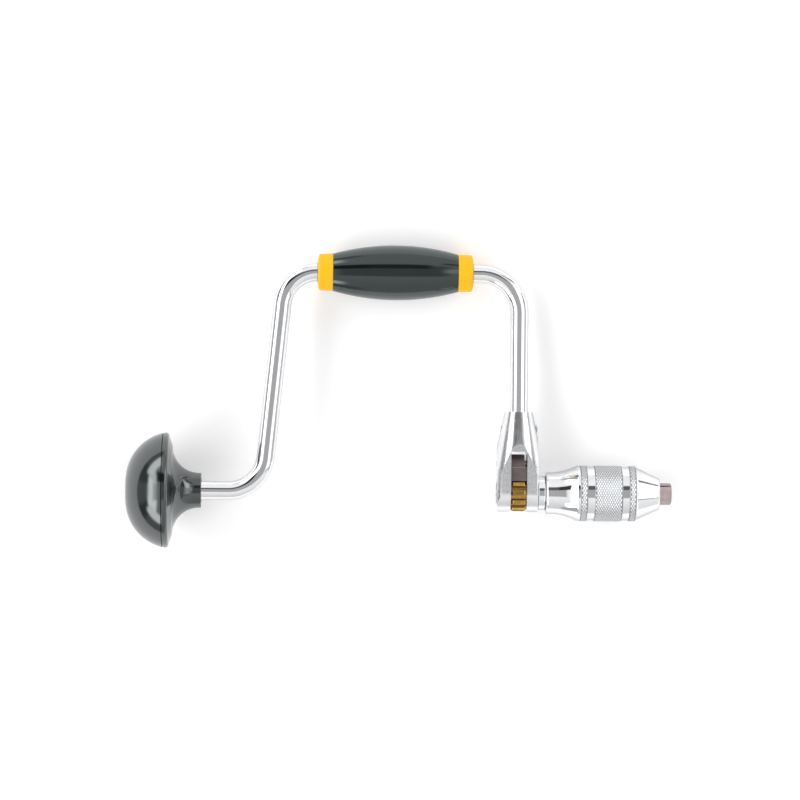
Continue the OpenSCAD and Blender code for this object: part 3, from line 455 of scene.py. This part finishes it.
# Painted shade: the knurl's grooves are darker than its peaks
KNURLED = finish("plated_knurl", "plated_steel", (0.68, 0.69, 0.70), (0.78, 0.79, 0.80), (0.38, 0.48),
                 grain=900, grain_depth=0.003, patch=600, groove_shade=(0.31, 0.32, 0.33))
TURNED = finish("turned_steel", "bare_steel", (0.42, 0.42, 0.43), (0.62, 0.62, 0.63), (0.22, 0.38),
                grain=900, grain_depth=0.006, patch=70, stretch=(6, 0.4, 0.4))
BEARING = finish("bearing_steel", "bearing_steel", (0.55, 0.55, 0.56), (0.72, 0.72, 0.73), (0.08, 0.18),
                 grain=800, grain_depth=0.001, patch=60)
SPRING = finish("spring_steel", "spring_steel", (0.16, 0.16, 0.17), (0.34, 0.34, 0.35), (0.25, 0.42),
                grain=1400, grain_depth=0.003, patch=200)
BROWNED = finish("browned_steel", "browned_steel", (0.145, 0.118, 0.113), (0.215, 0.178, 0.172),
                 (0.36, 0.55), metallic=0.75, grain=1500, grain_depth=0.02, patch=220)
# Worn and painted highlight: the pawls' rounded edges are lighter, partly browning rubbed through and partly
# a painted highlight line
BROWNED_WEAR_AND_HIGHLIGHT = finish("browned_wear_and_highlight", "browned_steel", (0.44, 0.39, 0.38), (0.58, 0.53, 0.52), (0.26, 0.4),
                      metallic=0.9, grain=1500, grain_depth=0.01, patch=220)
JAW = finish("jaw_steel", "jaw_steel", (0.46, 0.37, 0.37), (0.62, 0.51, 0.52), (0.40, 0.52), metallic=0.95,
             grain=1300, grain_depth=0.012, patch=180, stretch=(1, 3, 3), tint=(0.2, 0.17, 0.17))
# Painted shade: the jaws' rounded edges, and so the split between the jaws, are dark
JAW_EDGE_SHADE = finish("jaw_edge_painted_shade", "jaw_steel", (0.16, 0.12, 0.12), (0.24, 0.19, 0.19), (0.4, 0.5), metallic=0.9,
                  grain=1300, grain_depth=0.01, patch=180)
GOLD = finish("gold_steel", "gold_steel", (0.34, 0.20, 0.03), (0.54, 0.36, 0.08), (0.24, 0.4), grain=1100,
              grain_depth=0.008, patch=500)
# Worn and painted highlight: the wheel's rounded tooth edges are bright gold, partly wear and partly a
# painted highlight on the crests
GOLD_WEAR_AND_HIGHLIGHT = finish("gold_wear_and_highlight", "gold_steel", (0.86, 0.64, 0.28), (0.98, 0.80, 0.44), (0.2, 0.3), grain=1100,
                   grain_depth=0.006, patch=500)
BRONZE = finish("bronze", "bronze", (0.36, 0.22, 0.1), (0.55, 0.37, 0.18), (0.4, 0.6), grain=1800,
                grain_depth=0.02, patch=300)
GRIP_BLACK = finish("grip_plastic", "black_plastic", (0.0022, 0.0030, 0.0032), (0.0036, 0.0048, 0.0050),
                    (0.08, 0.12), metallic=0.0, grain=650, grain_depth=0.002, patch=40, specular=1.0,
                    tint=GRIP_TINT)
HEAD_BLACK = finish("head_plastic", "black_plastic", (0.0030, 0.0054, 0.0057), (0.0048, 0.0078, 0.0082),
                    (0.10, 0.13), metallic=0.0, grain=650, grain_depth=0.002, patch=40, specular=1.0,
                    tint=HEAD_TINT, ior=1.62)
YELLOW = finish("yellow_plastic", "yellow_plastic", (0.90, 0.465, 0.008), (0.97, 0.535, 0.014), (0.46, 0.62),
                metallic=0.0, grain=1600, grain_depth=0.012, patch=120, specular=0.2)


# Crank
def bend(cx, cy, radius, first, last, heading, steps=36):
    """One bend of the rod about (cx, cy), from the first angle to the last."""
    path = []
    for k in range(steps + 1):
        turned = (last - first) * k / steps
        a = math.radians(first + turned)
        path.append((cx + radius * math.cos(a), cy + radius * math.sin(a), ROD_R, heading + turned))
    return path


def crank_path():
    """Centre line of the rod from the bearing spigot round to the box, with its turned places."""
    chamfer = 0.4
    clip_end_x = CLIP_X + CLIP_T
    bead_left_x, bead_right_x = GRIP_MID_X - BEAD_W / 2, GRIP_MID_X + BEAD_W / 2
    head_end = [(SPIGOT_END_X, SPIGOT_R), (SHOULDER_X, SPIGOT_R), (SHOULDER_X, ROD_R - chamfer),
                (SHOULDER_X + chamfer, ROD_R), (CLIP_X, ROD_R), (CLIP_X, CLIP_GROOVE_R),
                (clip_end_x, CLIP_GROOVE_R), (clip_end_x, ROD_R)]
    bead = [(bead_left_x, ROD_R), (bead_left_x, BEAD_R), (bead_right_x, BEAD_R), (bead_right_x, ROD_R)]
    path = [(x, 0, r, 0) for x, r in head_end]
    path += bend(HEAD_BEND_X, HEAD_BEND_R, HEAD_BEND_R, -90, LEAN_TURN - 90, 0)
    path += bend(GRIP_LEFT_X, THROW - GRIP_BEND_R, GRIP_BEND_R, 90 + LEAN_TURN, 90, LEAN_TURN)
    path += [(x, THROW, r, 0) for x, r in bead]
    path += bend(BOX_X - BOX_BEND_R, THROW - BOX_BEND_R, BOX_BEND_R, 90, 0, 0)
    path.append((BOX_X, SOCKET_Y, ROD_R, -90))
    return path


def arm_pin_profile():
    """The pin through cone and arm: a softened end on the left, a low domed head on the right."""
    end_x = PIN_RIGHT_X + PIN_HEAD_T
    edge, dome, crown, crown_r, crown_edge = 0.3, 0.5, 0.1, 1.7, 0.6
    return soften([(PIN_LEFT_X, 0), (PIN_LEFT_X, PIN_R, edge), (PIN_SEAT_X, PIN_R),
                   (PIN_SEAT_X, PIN_HEAD_R), (end_x - dome, PIN_HEAD_R, dome),
                   (end_x - crown, crown_r, crown_edge), (end_x, 0)], closed=False)


to_object("crank_rod_swept", sweep(crank_path()), PLATE, "frame", "crank_rod", sharp=40)
to_object("arm_pin_domed", lathe(arm_pin_profile(), closed=False, y=PIN_Y, steps=48), TURNED,
          "frame", "arm_pin")


# Head
def cap_profile():
    """The crowned cap: its arc, the bevel at the seam, the lip, the inner crown and the bearing's seat."""
    crown_x = APEX_X + CROWN_R
    inner_r = CROWN_R - HEAD_WALL
    crown_end = math.degrees(math.acos((PART_X - crown_x) / CROWN_R))
    lip_turn = math.degrees(math.asin((LIP_INNER_R - CROWN_FLAT_R) / inner_r))
    boss_turn = math.degrees(math.asin((BOSS_R - CROWN_FLAT_R) / inner_r))
    short_of_seam = 0.6
    bevel_x, bevel_r, blend_r = 0.25, 0.4, 0.06
    lip_root_x = PART_X - 3
    boss_x = OUTER_FACE_X + 1
    seat_r = RACE_R + PRESS_GAP
    cap = [(APEX_X, 0)]
    cap += arc(crown_x, CROWN_FLAT_R, CROWN_R, 180, crown_end + short_of_seam, 72)
    cap += [(PART_X - bevel_x, SEAM_R - blend_r), (PART_X - GAP, SEAM_R - bevel_r),
            (PART_X - GAP, LIP_R), (PART_X + LIP_LEN, LIP_R), (PART_X + LIP_LEN, LIP_INNER_R),
            (lip_root_x, LIP_INNER_R)]
    cap += arc(crown_x, CROWN_FLAT_R, inner_r, 180 - lip_turn, 180 - boss_turn, 20)
    cap += [(boss_x, BOSS_R), (boss_x, seat_r), (OUTER_BACK_X, seat_r), (OUTER_BACK_X, 0)]
    return cap


def base_profile():
    """The flared base: the rim with its rounded back, the hollow sweep, the neck and the bush's bore."""
    slope_r = NECK_R + FLARE_R
    bevel_x, bevel_r = 0.3, 0.4
    neck_edge = 0.8
    bore_r = BUSH_R + PRESS_GAP
    inner_neck_r = NECK_R - 0.6
    pocket_x = RIM_SLOPE_X + 0.5
    lip_seat_x, lip_seat_r = PART_X + LIP_LEN + 0.2, LIP_R + GUIDE_GAP
    base = [(PART_X + GAP, lip_seat_r), (PART_X + GAP, SEAM_R - bevel_r), (PART_X + bevel_x, SEAM_R),
            (RIM_LEAD_X, HEAD_R)]
    base += arc(RIM_BACK_X - RIM_EDGE_R, HEAD_R - RIM_EDGE_R, RIM_EDGE_R, 90, 0, 12)
    # Two points that ease the rim's back into the sweep
    base += [(RIM_SLOPE_X - 0.12, slope_r + 0.5), (RIM_SLOPE_X - 0.03, slope_r + 0.12)]
    base += arc(FLARE_X, slope_r, FLARE_R, 180, 270, 48)
    base += soften([(NECK_X - neck_edge, NECK_R), (NECK_X, NECK_R, neck_edge), (NECK_X, bore_r),
                    (BUSH_BACK_X, bore_r)], closed=False)
    base += [(BUSH_BACK_X, inner_neck_r), (pocket_x, inner_neck_r), (pocket_x, NECK_R + 2),
             (lip_seat_x, slope_r - HEAD_WALL), (lip_seat_x, lip_seat_r)]
    return base


HEAD_STEPS = 240
to_object("head_cap_turned", lathe(cap_profile(), closed=False, steps=HEAD_STEPS), HEAD_BLACK,
          "head", "head_cap")
to_object("head_base_turned", lathe(base_profile(), steps=HEAD_STEPS), HEAD_BLACK, "head", "head_base")

# Grip
HALF = GRIP_LEN / 2
HALF_BARREL = HALF - COLLAR_W


def barrel_arc():
    """The bulged outside of the barrel, from its left end to its right."""
    sag = GRIP_R - GRIP_END_R
    radius = (HALF_BARREL ** 2 + sag ** 2) / (2 * sag)
    half_turn = math.degrees(math.asin(HALF_BARREL / radius))
    return arc(GRIP_MID_X, GRIP_R - radius, radius, 90 + half_turn, 90 - half_turn, 60)


def nose(side):
    """Steps from the barrel's end down through the collar to the rod, on one side."""
    steps = [(HALF_BARREL, COLLAR_BORE_R - GAP), (HALF - COLLAR_END, COLLAR_BORE_R - GAP),
             (HALF - COLLAR_END, NOSE_RING_R), (HALF + NOSE_OUT, NOSE_RING_R, 0.15),
             (HALF + NOSE_OUT, BORE_R)]
    return [(GRIP_MID_X + side * p[0], *p[1:]) for p in steps]


def bead_room():
    """The groove in the bore that takes the rod's bead, from right to left."""
    x, r = BEAD_W / 2 + BEAD_ROOM, BEAD_R + BEAD_ROOM
    return [(GRIP_MID_X + at, depth) for at, depth in ((x, BORE_R), (x, r), (-x, r), (-x, BORE_R))]


def collar(name, inner_x, side):
    """A collar with a softly domed end; inner_x is its face against the barrel."""
    wall_x = COLLAR_W - COLLAR_END
    flat_r = NOSE_RING_R + 1.5
    points = [(0, GRIP_END_R - GAP, 0.35), (COLLAR_W - COLLAR_DOME, COLLAR_R, 1.2),
              (COLLAR_W, flat_r, 0.8), (COLLAR_W, NOSE_RING_R + GAP), (wall_x, NOSE_RING_R + GAP),
              (wall_x, COLLAR_BORE_R), (0, COLLAR_BORE_R)]
    profile = [(inner_x + side * x, r) for x, r in soften(points, steps=8)]
    to_object(name + "_turned", lathe(profile, y=THROW, steps=144), YELLOW, "grip", name)


# Each half stops this many degrees short of the joint
JOINT_TURN = 0.12
grip_profile = soften(barrel_arc() + nose(1) + bead_room() + list(reversed(nose(-1))))
for name, start in (("grip_front", 0), ("grip_back", 180)):
    half = lathe(grip_profile, y=THROW, steps=96, start=start + JOINT_TURN, end=start + 180 - JOINT_TURN)
    to_object(name + "_turned", half, GRIP_BLACK, "grip", name)
collar("collar_right", GRIP_RIGHT_X - COLLAR_W, 1)
collar("collar_left", GRIP_LEFT_X + COLLAR_W, -1)

# Selector ring
RING_EDGE = 0.9
ring_profile = soften([(RING_BACK_X, SLEEVE_R), (RING_BACK_X, RING_R, RING_EDGE),
                       (RING_FRONT_X, RING_R, RING_EDGE), (RING_FRONT_X, SLEEVE_R)], steps=6)
to_object("selector_ring_turned", lathe(ring_profile), PLATE, "selector", "selector_ring")


# Chuck
def shell_profile():
    """The shell: rounded rear edge, hollow bell, the plain lands between the knurls, joint and cavity."""
    top_r = SHELL_R - 0.25
    bell_turn = math.degrees(math.acos((BELL_END_R + BELL_R - top_r) / BELL_R))
    front_x, joint_x = GROOVE2_X - GAP, GROOVE2_X - JOINT_LEN
    shell = [(REAR_X, THREAD_R)]
    shell += arc(REAR_X + BELL_EDGE_R, BELL_END_R - BELL_EDGE_R, BELL_EDGE_R, 180, 90, 10)
    shell += arc(REAR_X + BELL_LAND, BELL_END_R + BELL_R, BELL_R, 270, 270 + bell_turn, 48)
    shell += soften([(BELL_X - 0.6, top_r), (BELL_X, top_r, 0.3), (BELL_X, PLAIN_R), (RING1_X, PLAIN_R),
                     (RING1_X, LATHE_R), (GROOVE1_X, LATHE_R), (GROOVE1_X, PLAIN_R), (BAND_X, PLAIN_R),
                     (BAND_X, LATHE_R), (front_x, LATHE_R, 0.2), (front_x, JOINT_R + GAP),
                     (joint_x, JOINT_R + GAP), (joint_x, CAVITY_R), (BELL_X, CAVITY_R),
                     (BELL_X, THREAD_R)], closed=False)
    return shell


def nose_profile():
    """The nose: its spigot in the shell, the land under the front knurl, the cone and the bore."""
    spigot_x = GROOVE2_X - JOINT_LEN + 0.1
    cone_end_x, cone_end_r = NOSE_X - 0.9, NOSE_R + 0.35
    return soften([(spigot_x, CAVITY_R), (spigot_x, JOINT_R), (GROOVE2_X, JOINT_R),
                   (GROOVE2_X, PLAIN_R), (CHAMFER_X, PLAIN_R), (CHAMFER_X, SHELL_R - 0.4, 0.15),
                   (RING2_X, SHELL_R - CONE_STEP, 0.3), (cone_end_x, cone_end_r, 0.5),
                   (NOSE_X, NOSE_R - 0.6, 0.4), (NOSE_X, NOSE_BORE_R, 0.4), (LAND_X, NOSE_BORE_R),
                   (LAND_X, CAVITY_R)], steps=6)


CHUCK_STEPS = 224
to_object("chuck_shell_turned", lathe(shell_profile(), steps=CHUCK_STEPS), PLATE, "shell", "chuck_shell")
to_object("knurl_rear", knurl(BELL_X, RING1_X, SHELL_R, KNURL_FOOT_R), KNURLED, "shell", "chuck_shell")
to_object("knurl_band", knurl(GROOVE1_X, BAND_X, SHELL_R, KNURL_FOOT_R), KNURLED, "shell", "chuck_shell")
to_object("chuck_nose_turned", lathe(nose_profile(), steps=CHUCK_STEPS), PLATE, "shell", "chuck_nose")
to_object("knurl_nose", knurl(GROOVE2_X, CHAMFER_X, SHELL_R - 0.1, KNURL_FOOT_R), KNURLED,
          "shell", "chuck_nose")


# Pieces with fine edges
def casting_face(face):
    """0 for the milled flats outside, 1 for the turned cone and the foot, 2 for the walls of the slot, which
    get a painted shade.
    """
    n = face.normal
    centre = face.calc_center_median() / MM
    margin = 0.3
    in_slot = abs(centre.x - BOX_X) < SLOT_HALF_W + margin and centre.y < SLOT_TOP + margin
    if in_slot and abs(n.z) < 0.9 and n.x > -0.5:
        return 2
    return 0 if abs(n.z) > 0.99 or abs(n.x) > 0.99 else 1


# The walls of the slot get the painted shade, a dark copy of the casting
fine_edges("ratchet_box", "frame", [SATIN_CASTING, BRIGHT_CASTING, PAINTED_SLOT_SHADE], 0.35, segments=3,
           shortest=0.35, face_material=casting_face)
# The pawls' rounded edges get the lighter finish, partly wear and partly painted highlight
for pawl in ("pawl_front", "pawl_back"):
    fine_edges(pawl, pawl, [BROWNED, BROWNED_WEAR_AND_HIGHLIGHT], 0.28, shortest=0.6)
# The wheel's rounded tooth edges get the bright gold, partly wear and partly painted highlight
fine_edges("ratchet_wheel", "spindle", [GOLD, GOLD_WEAR_AND_HIGHLIGHT], 0.3)
# The jaws' rounded edges get the painted shade
for jaw in ("jaw_a", "jaw_b"):
    fine_edges(jaw, jaw, [JAW, JAW_EDGE_SHADE], 0.3)
fine_edges("tail_screw", "spindle", TURNED, 0.15)
fine_edges("tail_washer", "spindle", TURNED, 0.12)

# Finishes of the solids that are shown as they are
FINISH_OF = {
    "left_bush": BRONZE, "neck_bush": BRONZE, "thrust_cage": BRONZE,
    "outer_race": BEARING, "inner_race": BEARING, "thrust_balls": BEARING, "cone_balls": BEARING,
    "head_clip": SPRING, "cone_clip": SPRING, "pawl_spring": SPRING, "jaw_spring": SPRING,
    "friction_washer": SPRING, "pawl_pin_front": TURNED, "pawl_pin_back": TURNED, "cam_sleeve": TURNED,
    "spindle": TURNED, "wheel_key": TURNED, "closing_cone": TURNED,
}
for node, material in FINISH_OF.items():
    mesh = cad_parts[node].data
    mesh.materials.clear()
    mesh.materials.append(material)


# Floor
def floor_place():
    """The plane under the brace, which rests on the head's rim, the chuck's front ring and the grip."""
    clear = 0.35
    rim_mid_x = (RIM_LEAD_X + RIM_BACK_X - RIM_EDGE_R) / 2
    rim = Vector((rim_mid_x, 0, -HEAD_R))
    ring = Vector((CHAMFER_X, 0, -SHELL_R))
    barrel = Vector((GRIP_MID_X, THROW, -GRIP_R))
    normal = (ring - rim).cross(barrel - rim).normalized()
    tilt = Vector((0, 0, 1)).rotation_difference(normal).to_matrix().to_4x4()
    return Matrix.Translation((rim - normal * clear) * MM) @ tilt


FLOOR_REACH = 4.0
FLOOR_GLOW = 0.18
bm = bmesh.new()
bmesh.ops.create_grid(bm, x_segments=24, y_segments=24, size=FLOOR_REACH)
floor_mesh = bpy.data.meshes.new("floor")
bm.to_mesh(floor_mesh)
bm.free()
floor = bpy.data.objects.new("floor", floor_mesh)
bpy.context.scene.collection.objects.link(floor)
floor.matrix_world = floor_place()
table = finish("light_table", "", (0.90, 0.90, 0.90), (0.92, 0.92, 0.92), (0.8, 0.9), metallic=0.0,
               grain=300, grain_depth=0.004, patch=6)
glow = table.node_tree.nodes["Principled BSDF"]
glow.inputs["Emission Color"].default_value = (1, 1, 1, 1)
glow.inputs["Emission Strength"].default_value = FLOOR_GLOW
floor_mesh.materials.append(table)


# Light: a white tent above the floor, seen by direction. X and Y of a direction are its place on the
# map of the sky, straight up at the middle and the horizon at the rim.
world = bpy.data.worlds.new("tent")
bpy.context.scene.world = world
world.use_nodes = True
tree = world.node_tree
where = tree.nodes.new("ShaderNodeTexCoord")
parts = tree.nodes.new("ShaderNodeSeparateXYZ")
tree.links.new(where.outputs["Generated"], parts.inputs[0])
SKY_X, SKY_Y, SKY_Z = (parts.outputs[k] for k in ("X", "Y", "Z"))


def step(value, low, high):
    """0 below low and 1 above high, with a smooth rise between them."""
    node = tree.nodes.new("ShaderNodeMapRange")
    node.interpolation_type = "SMOOTHSTEP"
    node.inputs["From Min"].default_value = low
    node.inputs["From Max"].default_value = high
    tree.links.new(value, node.inputs["Value"])
    return node.outputs["Result"]


def times(a, b):
    """Two values multiplied."""
    node = tree.nodes.new("ShaderNodeMath")
    node.operation = "MULTIPLY"
    tree.links.new(a, node.inputs[0])
    tree.links.new(b, node.inputs[1])
    return node.outputs[0]


def less(a):
    """1 minus a."""
    node = tree.nodes.new("ShaderNodeMath")
    node.operation = "SUBTRACT"
    node.inputs[0].default_value = 1.0
    tree.links.new(a, node.inputs[1])
    return node.outputs[0]


def window(value, low, high, soft):
    """1 where the value is between low and high, with edges that are soft by that much each way."""
    return times(step(value, low - soft, low + soft), less(step(value, high - soft, high + soft)))


def card(colour, value, *windows):
    """Lays a card of brightness value over the tent, where all the windows are open."""
    area = None
    for w in windows:
        open_part = window(*w)
        area = open_part if area is None else times(area, open_part)
    mix = tree.nodes.new("ShaderNodeMix")
    mix.data_type = "RGBA"
    tree.links.new(area, mix.inputs["Factor"])
    tree.links.new(colour, mix.inputs["A"])
    mix.inputs["B"].default_value = (value, value, value * 1.01, 1)
    return mix.outputs["Result"]


# OUT and DOWN end a window that has no edge inside the sky, and LIFT is the upper sky
OUT, DOWN = 1.5, -1.0
LIFT = (SKY_Z, 0.42, OUT, 0.05)
# Each card is its brightness and its windows of (part of the direction, from, to, softness). A later
# card lies over an earlier one.
CARDS = [
    # Grey and dark panels low on the head's side
    (0.42, (SKY_X, -0.85, -0.20, 0.06), (SKY_Z, DOWN, 0.22, 0.06)),
    (0.14, (SKY_X, -OUT, -0.38, 0.05), (SKY_Z, DOWN, 0.40, 0.05), (SKY_Y, -0.62, 0.62, 0.08)),
    (0.42, (SKY_X, -OUT, -0.90, 0.03), (SKY_Y, -0.32, 0.32, 0.08)),
    # Grey panel low on the chuck's side
    (0.50, (SKY_X, 0.90, OUT, 0.03), (SKY_Y, -0.9, 0.9, 0.05)),
    # Grey panel overhead, with a dark strip along its edge on the grip's side
    (0.42, (SKY_X, -0.47, 0.47, 0.05), (SKY_Y, -0.30, 0.50, 0.05)),
    (0.11, (SKY_X, -0.62, 0.32, 0.04), (SKY_Y, 0.29, 0.56, 0.03)),
    (0.04, (SKY_X, -0.62, -0.20, 0.05), (SKY_Y, 0.29, 0.56, 0.03)),
    # Lamps on the head's side, which make the bright crescent on the crown
    (2.4, (SKY_X, -0.86, -0.62, 0.06), (SKY_Y, -0.76, 0.62, 0.05), LIFT),
    (4.5, (SKY_X, -0.86, -0.60, 0.05), (SKY_Y, -0.76, -0.30, 0.06), LIFT),
    (3.4, (SKY_X, -0.84, -0.63, 0.04), (SKY_Y, 0.20, 0.62, 0.06), LIFT),
    (4.6, (SKY_X, -0.86, -0.74, 0.05), (SKY_Y, -0.40, 0.35, 0.06), LIFT),
    (3.8, (SKY_X, -0.84, -0.38, 0.05), (SKY_Y, -0.92, -0.42, 0.05), (SKY_Z, 0.24, 0.52, 0.05)),
    (3.8, (SKY_X, -0.84, -0.38, 0.05), (SKY_Y, 0.42, 0.92, 0.05), (SKY_Z, 0.24, 0.52, 0.05)),
    # Lamps on the chuck's side, which light the neck, the arms and the bell
    (1.8, (SKY_X, 0.60, 0.85, 0.06), (SKY_Y, -0.30, 0.60, 0.06)),
    (3.4, (SKY_X, 0.62, 0.84, 0.04), (SKY_Y, 0.20, 0.55, 0.06)),
    (1.6, (SKY_X, 0.45, 0.62, 0.05), (SKY_Y, -0.02, 0.30, 0.05)),
    # Two thin dark bars, which the nose cone shows as lines
    (0.25, (SKY_X, 0.40, 0.90, 0.03), (SKY_Y, 0.63, 0.72, 0.02)),
    (0.45, (SKY_X, 0.60, 0.95, 0.03), (SKY_Y, -0.37, -0.30, 0.012)),
    # Dark posts at the horizon on both sides
    (0.20, (SKY_X, -OUT, -0.86, 0.025), (SKY_Y, 0.20, 0.55, 0.05)),
    (0.20, (SKY_X, 0.86, OUT, 0.025), (SKY_Y, 0.20, 0.55, 0.05)),
]
# Brightness of the bare tent across the brace, from the horizon at -Y to the horizon at +Y
TENT = [(0.0, 0.70), (0.15, 0.86), (0.3, 0.95), (0.78, 0.93), (0.86, 1.0), (1.0, 0.93)]
along = tree.nodes.new("ShaderNodeMapRange")
along.inputs["From Min"].default_value = -1.0
tree.links.new(SKY_Y, along.inputs["Value"])
tone = ramp(tree, along.outputs["Result"], TENT)
for value, *windows in CARDS:
    tone = card(tone, value, *windows)
tree.links.new(tone, tree.nodes["Background"].inputs["Color"])
tree.nodes["Background"].inputs["Strength"].default_value = 1.0

# Camera. PIXEL is the photograph's scale in millimetres, and the column of the jaws' tips and the row of
# the tool axis are its pixels. The camera stands a little to the left of its aim and is rolled a little,
# and KEYSTONE moves the aim to the left, in millimetres, to keep the jaws' tips at their column.
PIXEL = 0.685
ORIGIN_COLUMN, AXIS_ROW, MIDDLE = 672, 491.9, 400
CAMERA_Z = 2400.0
CAMERA_LEFT = 68.5
KEYSTONE = 0.18
ROLL = 0.5
SENSOR = 36
aim = Vector(((MIDDLE - ORIGIN_COLUMN) * PIXEL - KEYSTONE, (AXIS_ROW - MIDDLE) * PIXEL, 0))
stand = aim + Vector((-CAMERA_LEFT, 0, CAMERA_Z))
lean = Matrix.Rotation(-math.atan(CAMERA_LEFT / CAMERA_Z), 4, "Y")
roll = Matrix.Rotation(math.radians(ROLL), 4, "Z")
data = bpy.data.cameras.new("camera")
data.sensor_width = data.sensor_height = SENSOR
data.angle = 2 * math.atan(MIDDLE * PIXEL / (stand - aim).length)
data.clip_start, data.clip_end = 0.05, 50
camera = bpy.data.objects.new("camera", data)
bpy.context.scene.collection.objects.link(camera)
camera.matrix_world = Matrix.Translation(stand * MM) @ lean @ roll
bpy.context.scene.camera = camera
bpy.context.scene.view_settings.view_transform = "Standard"
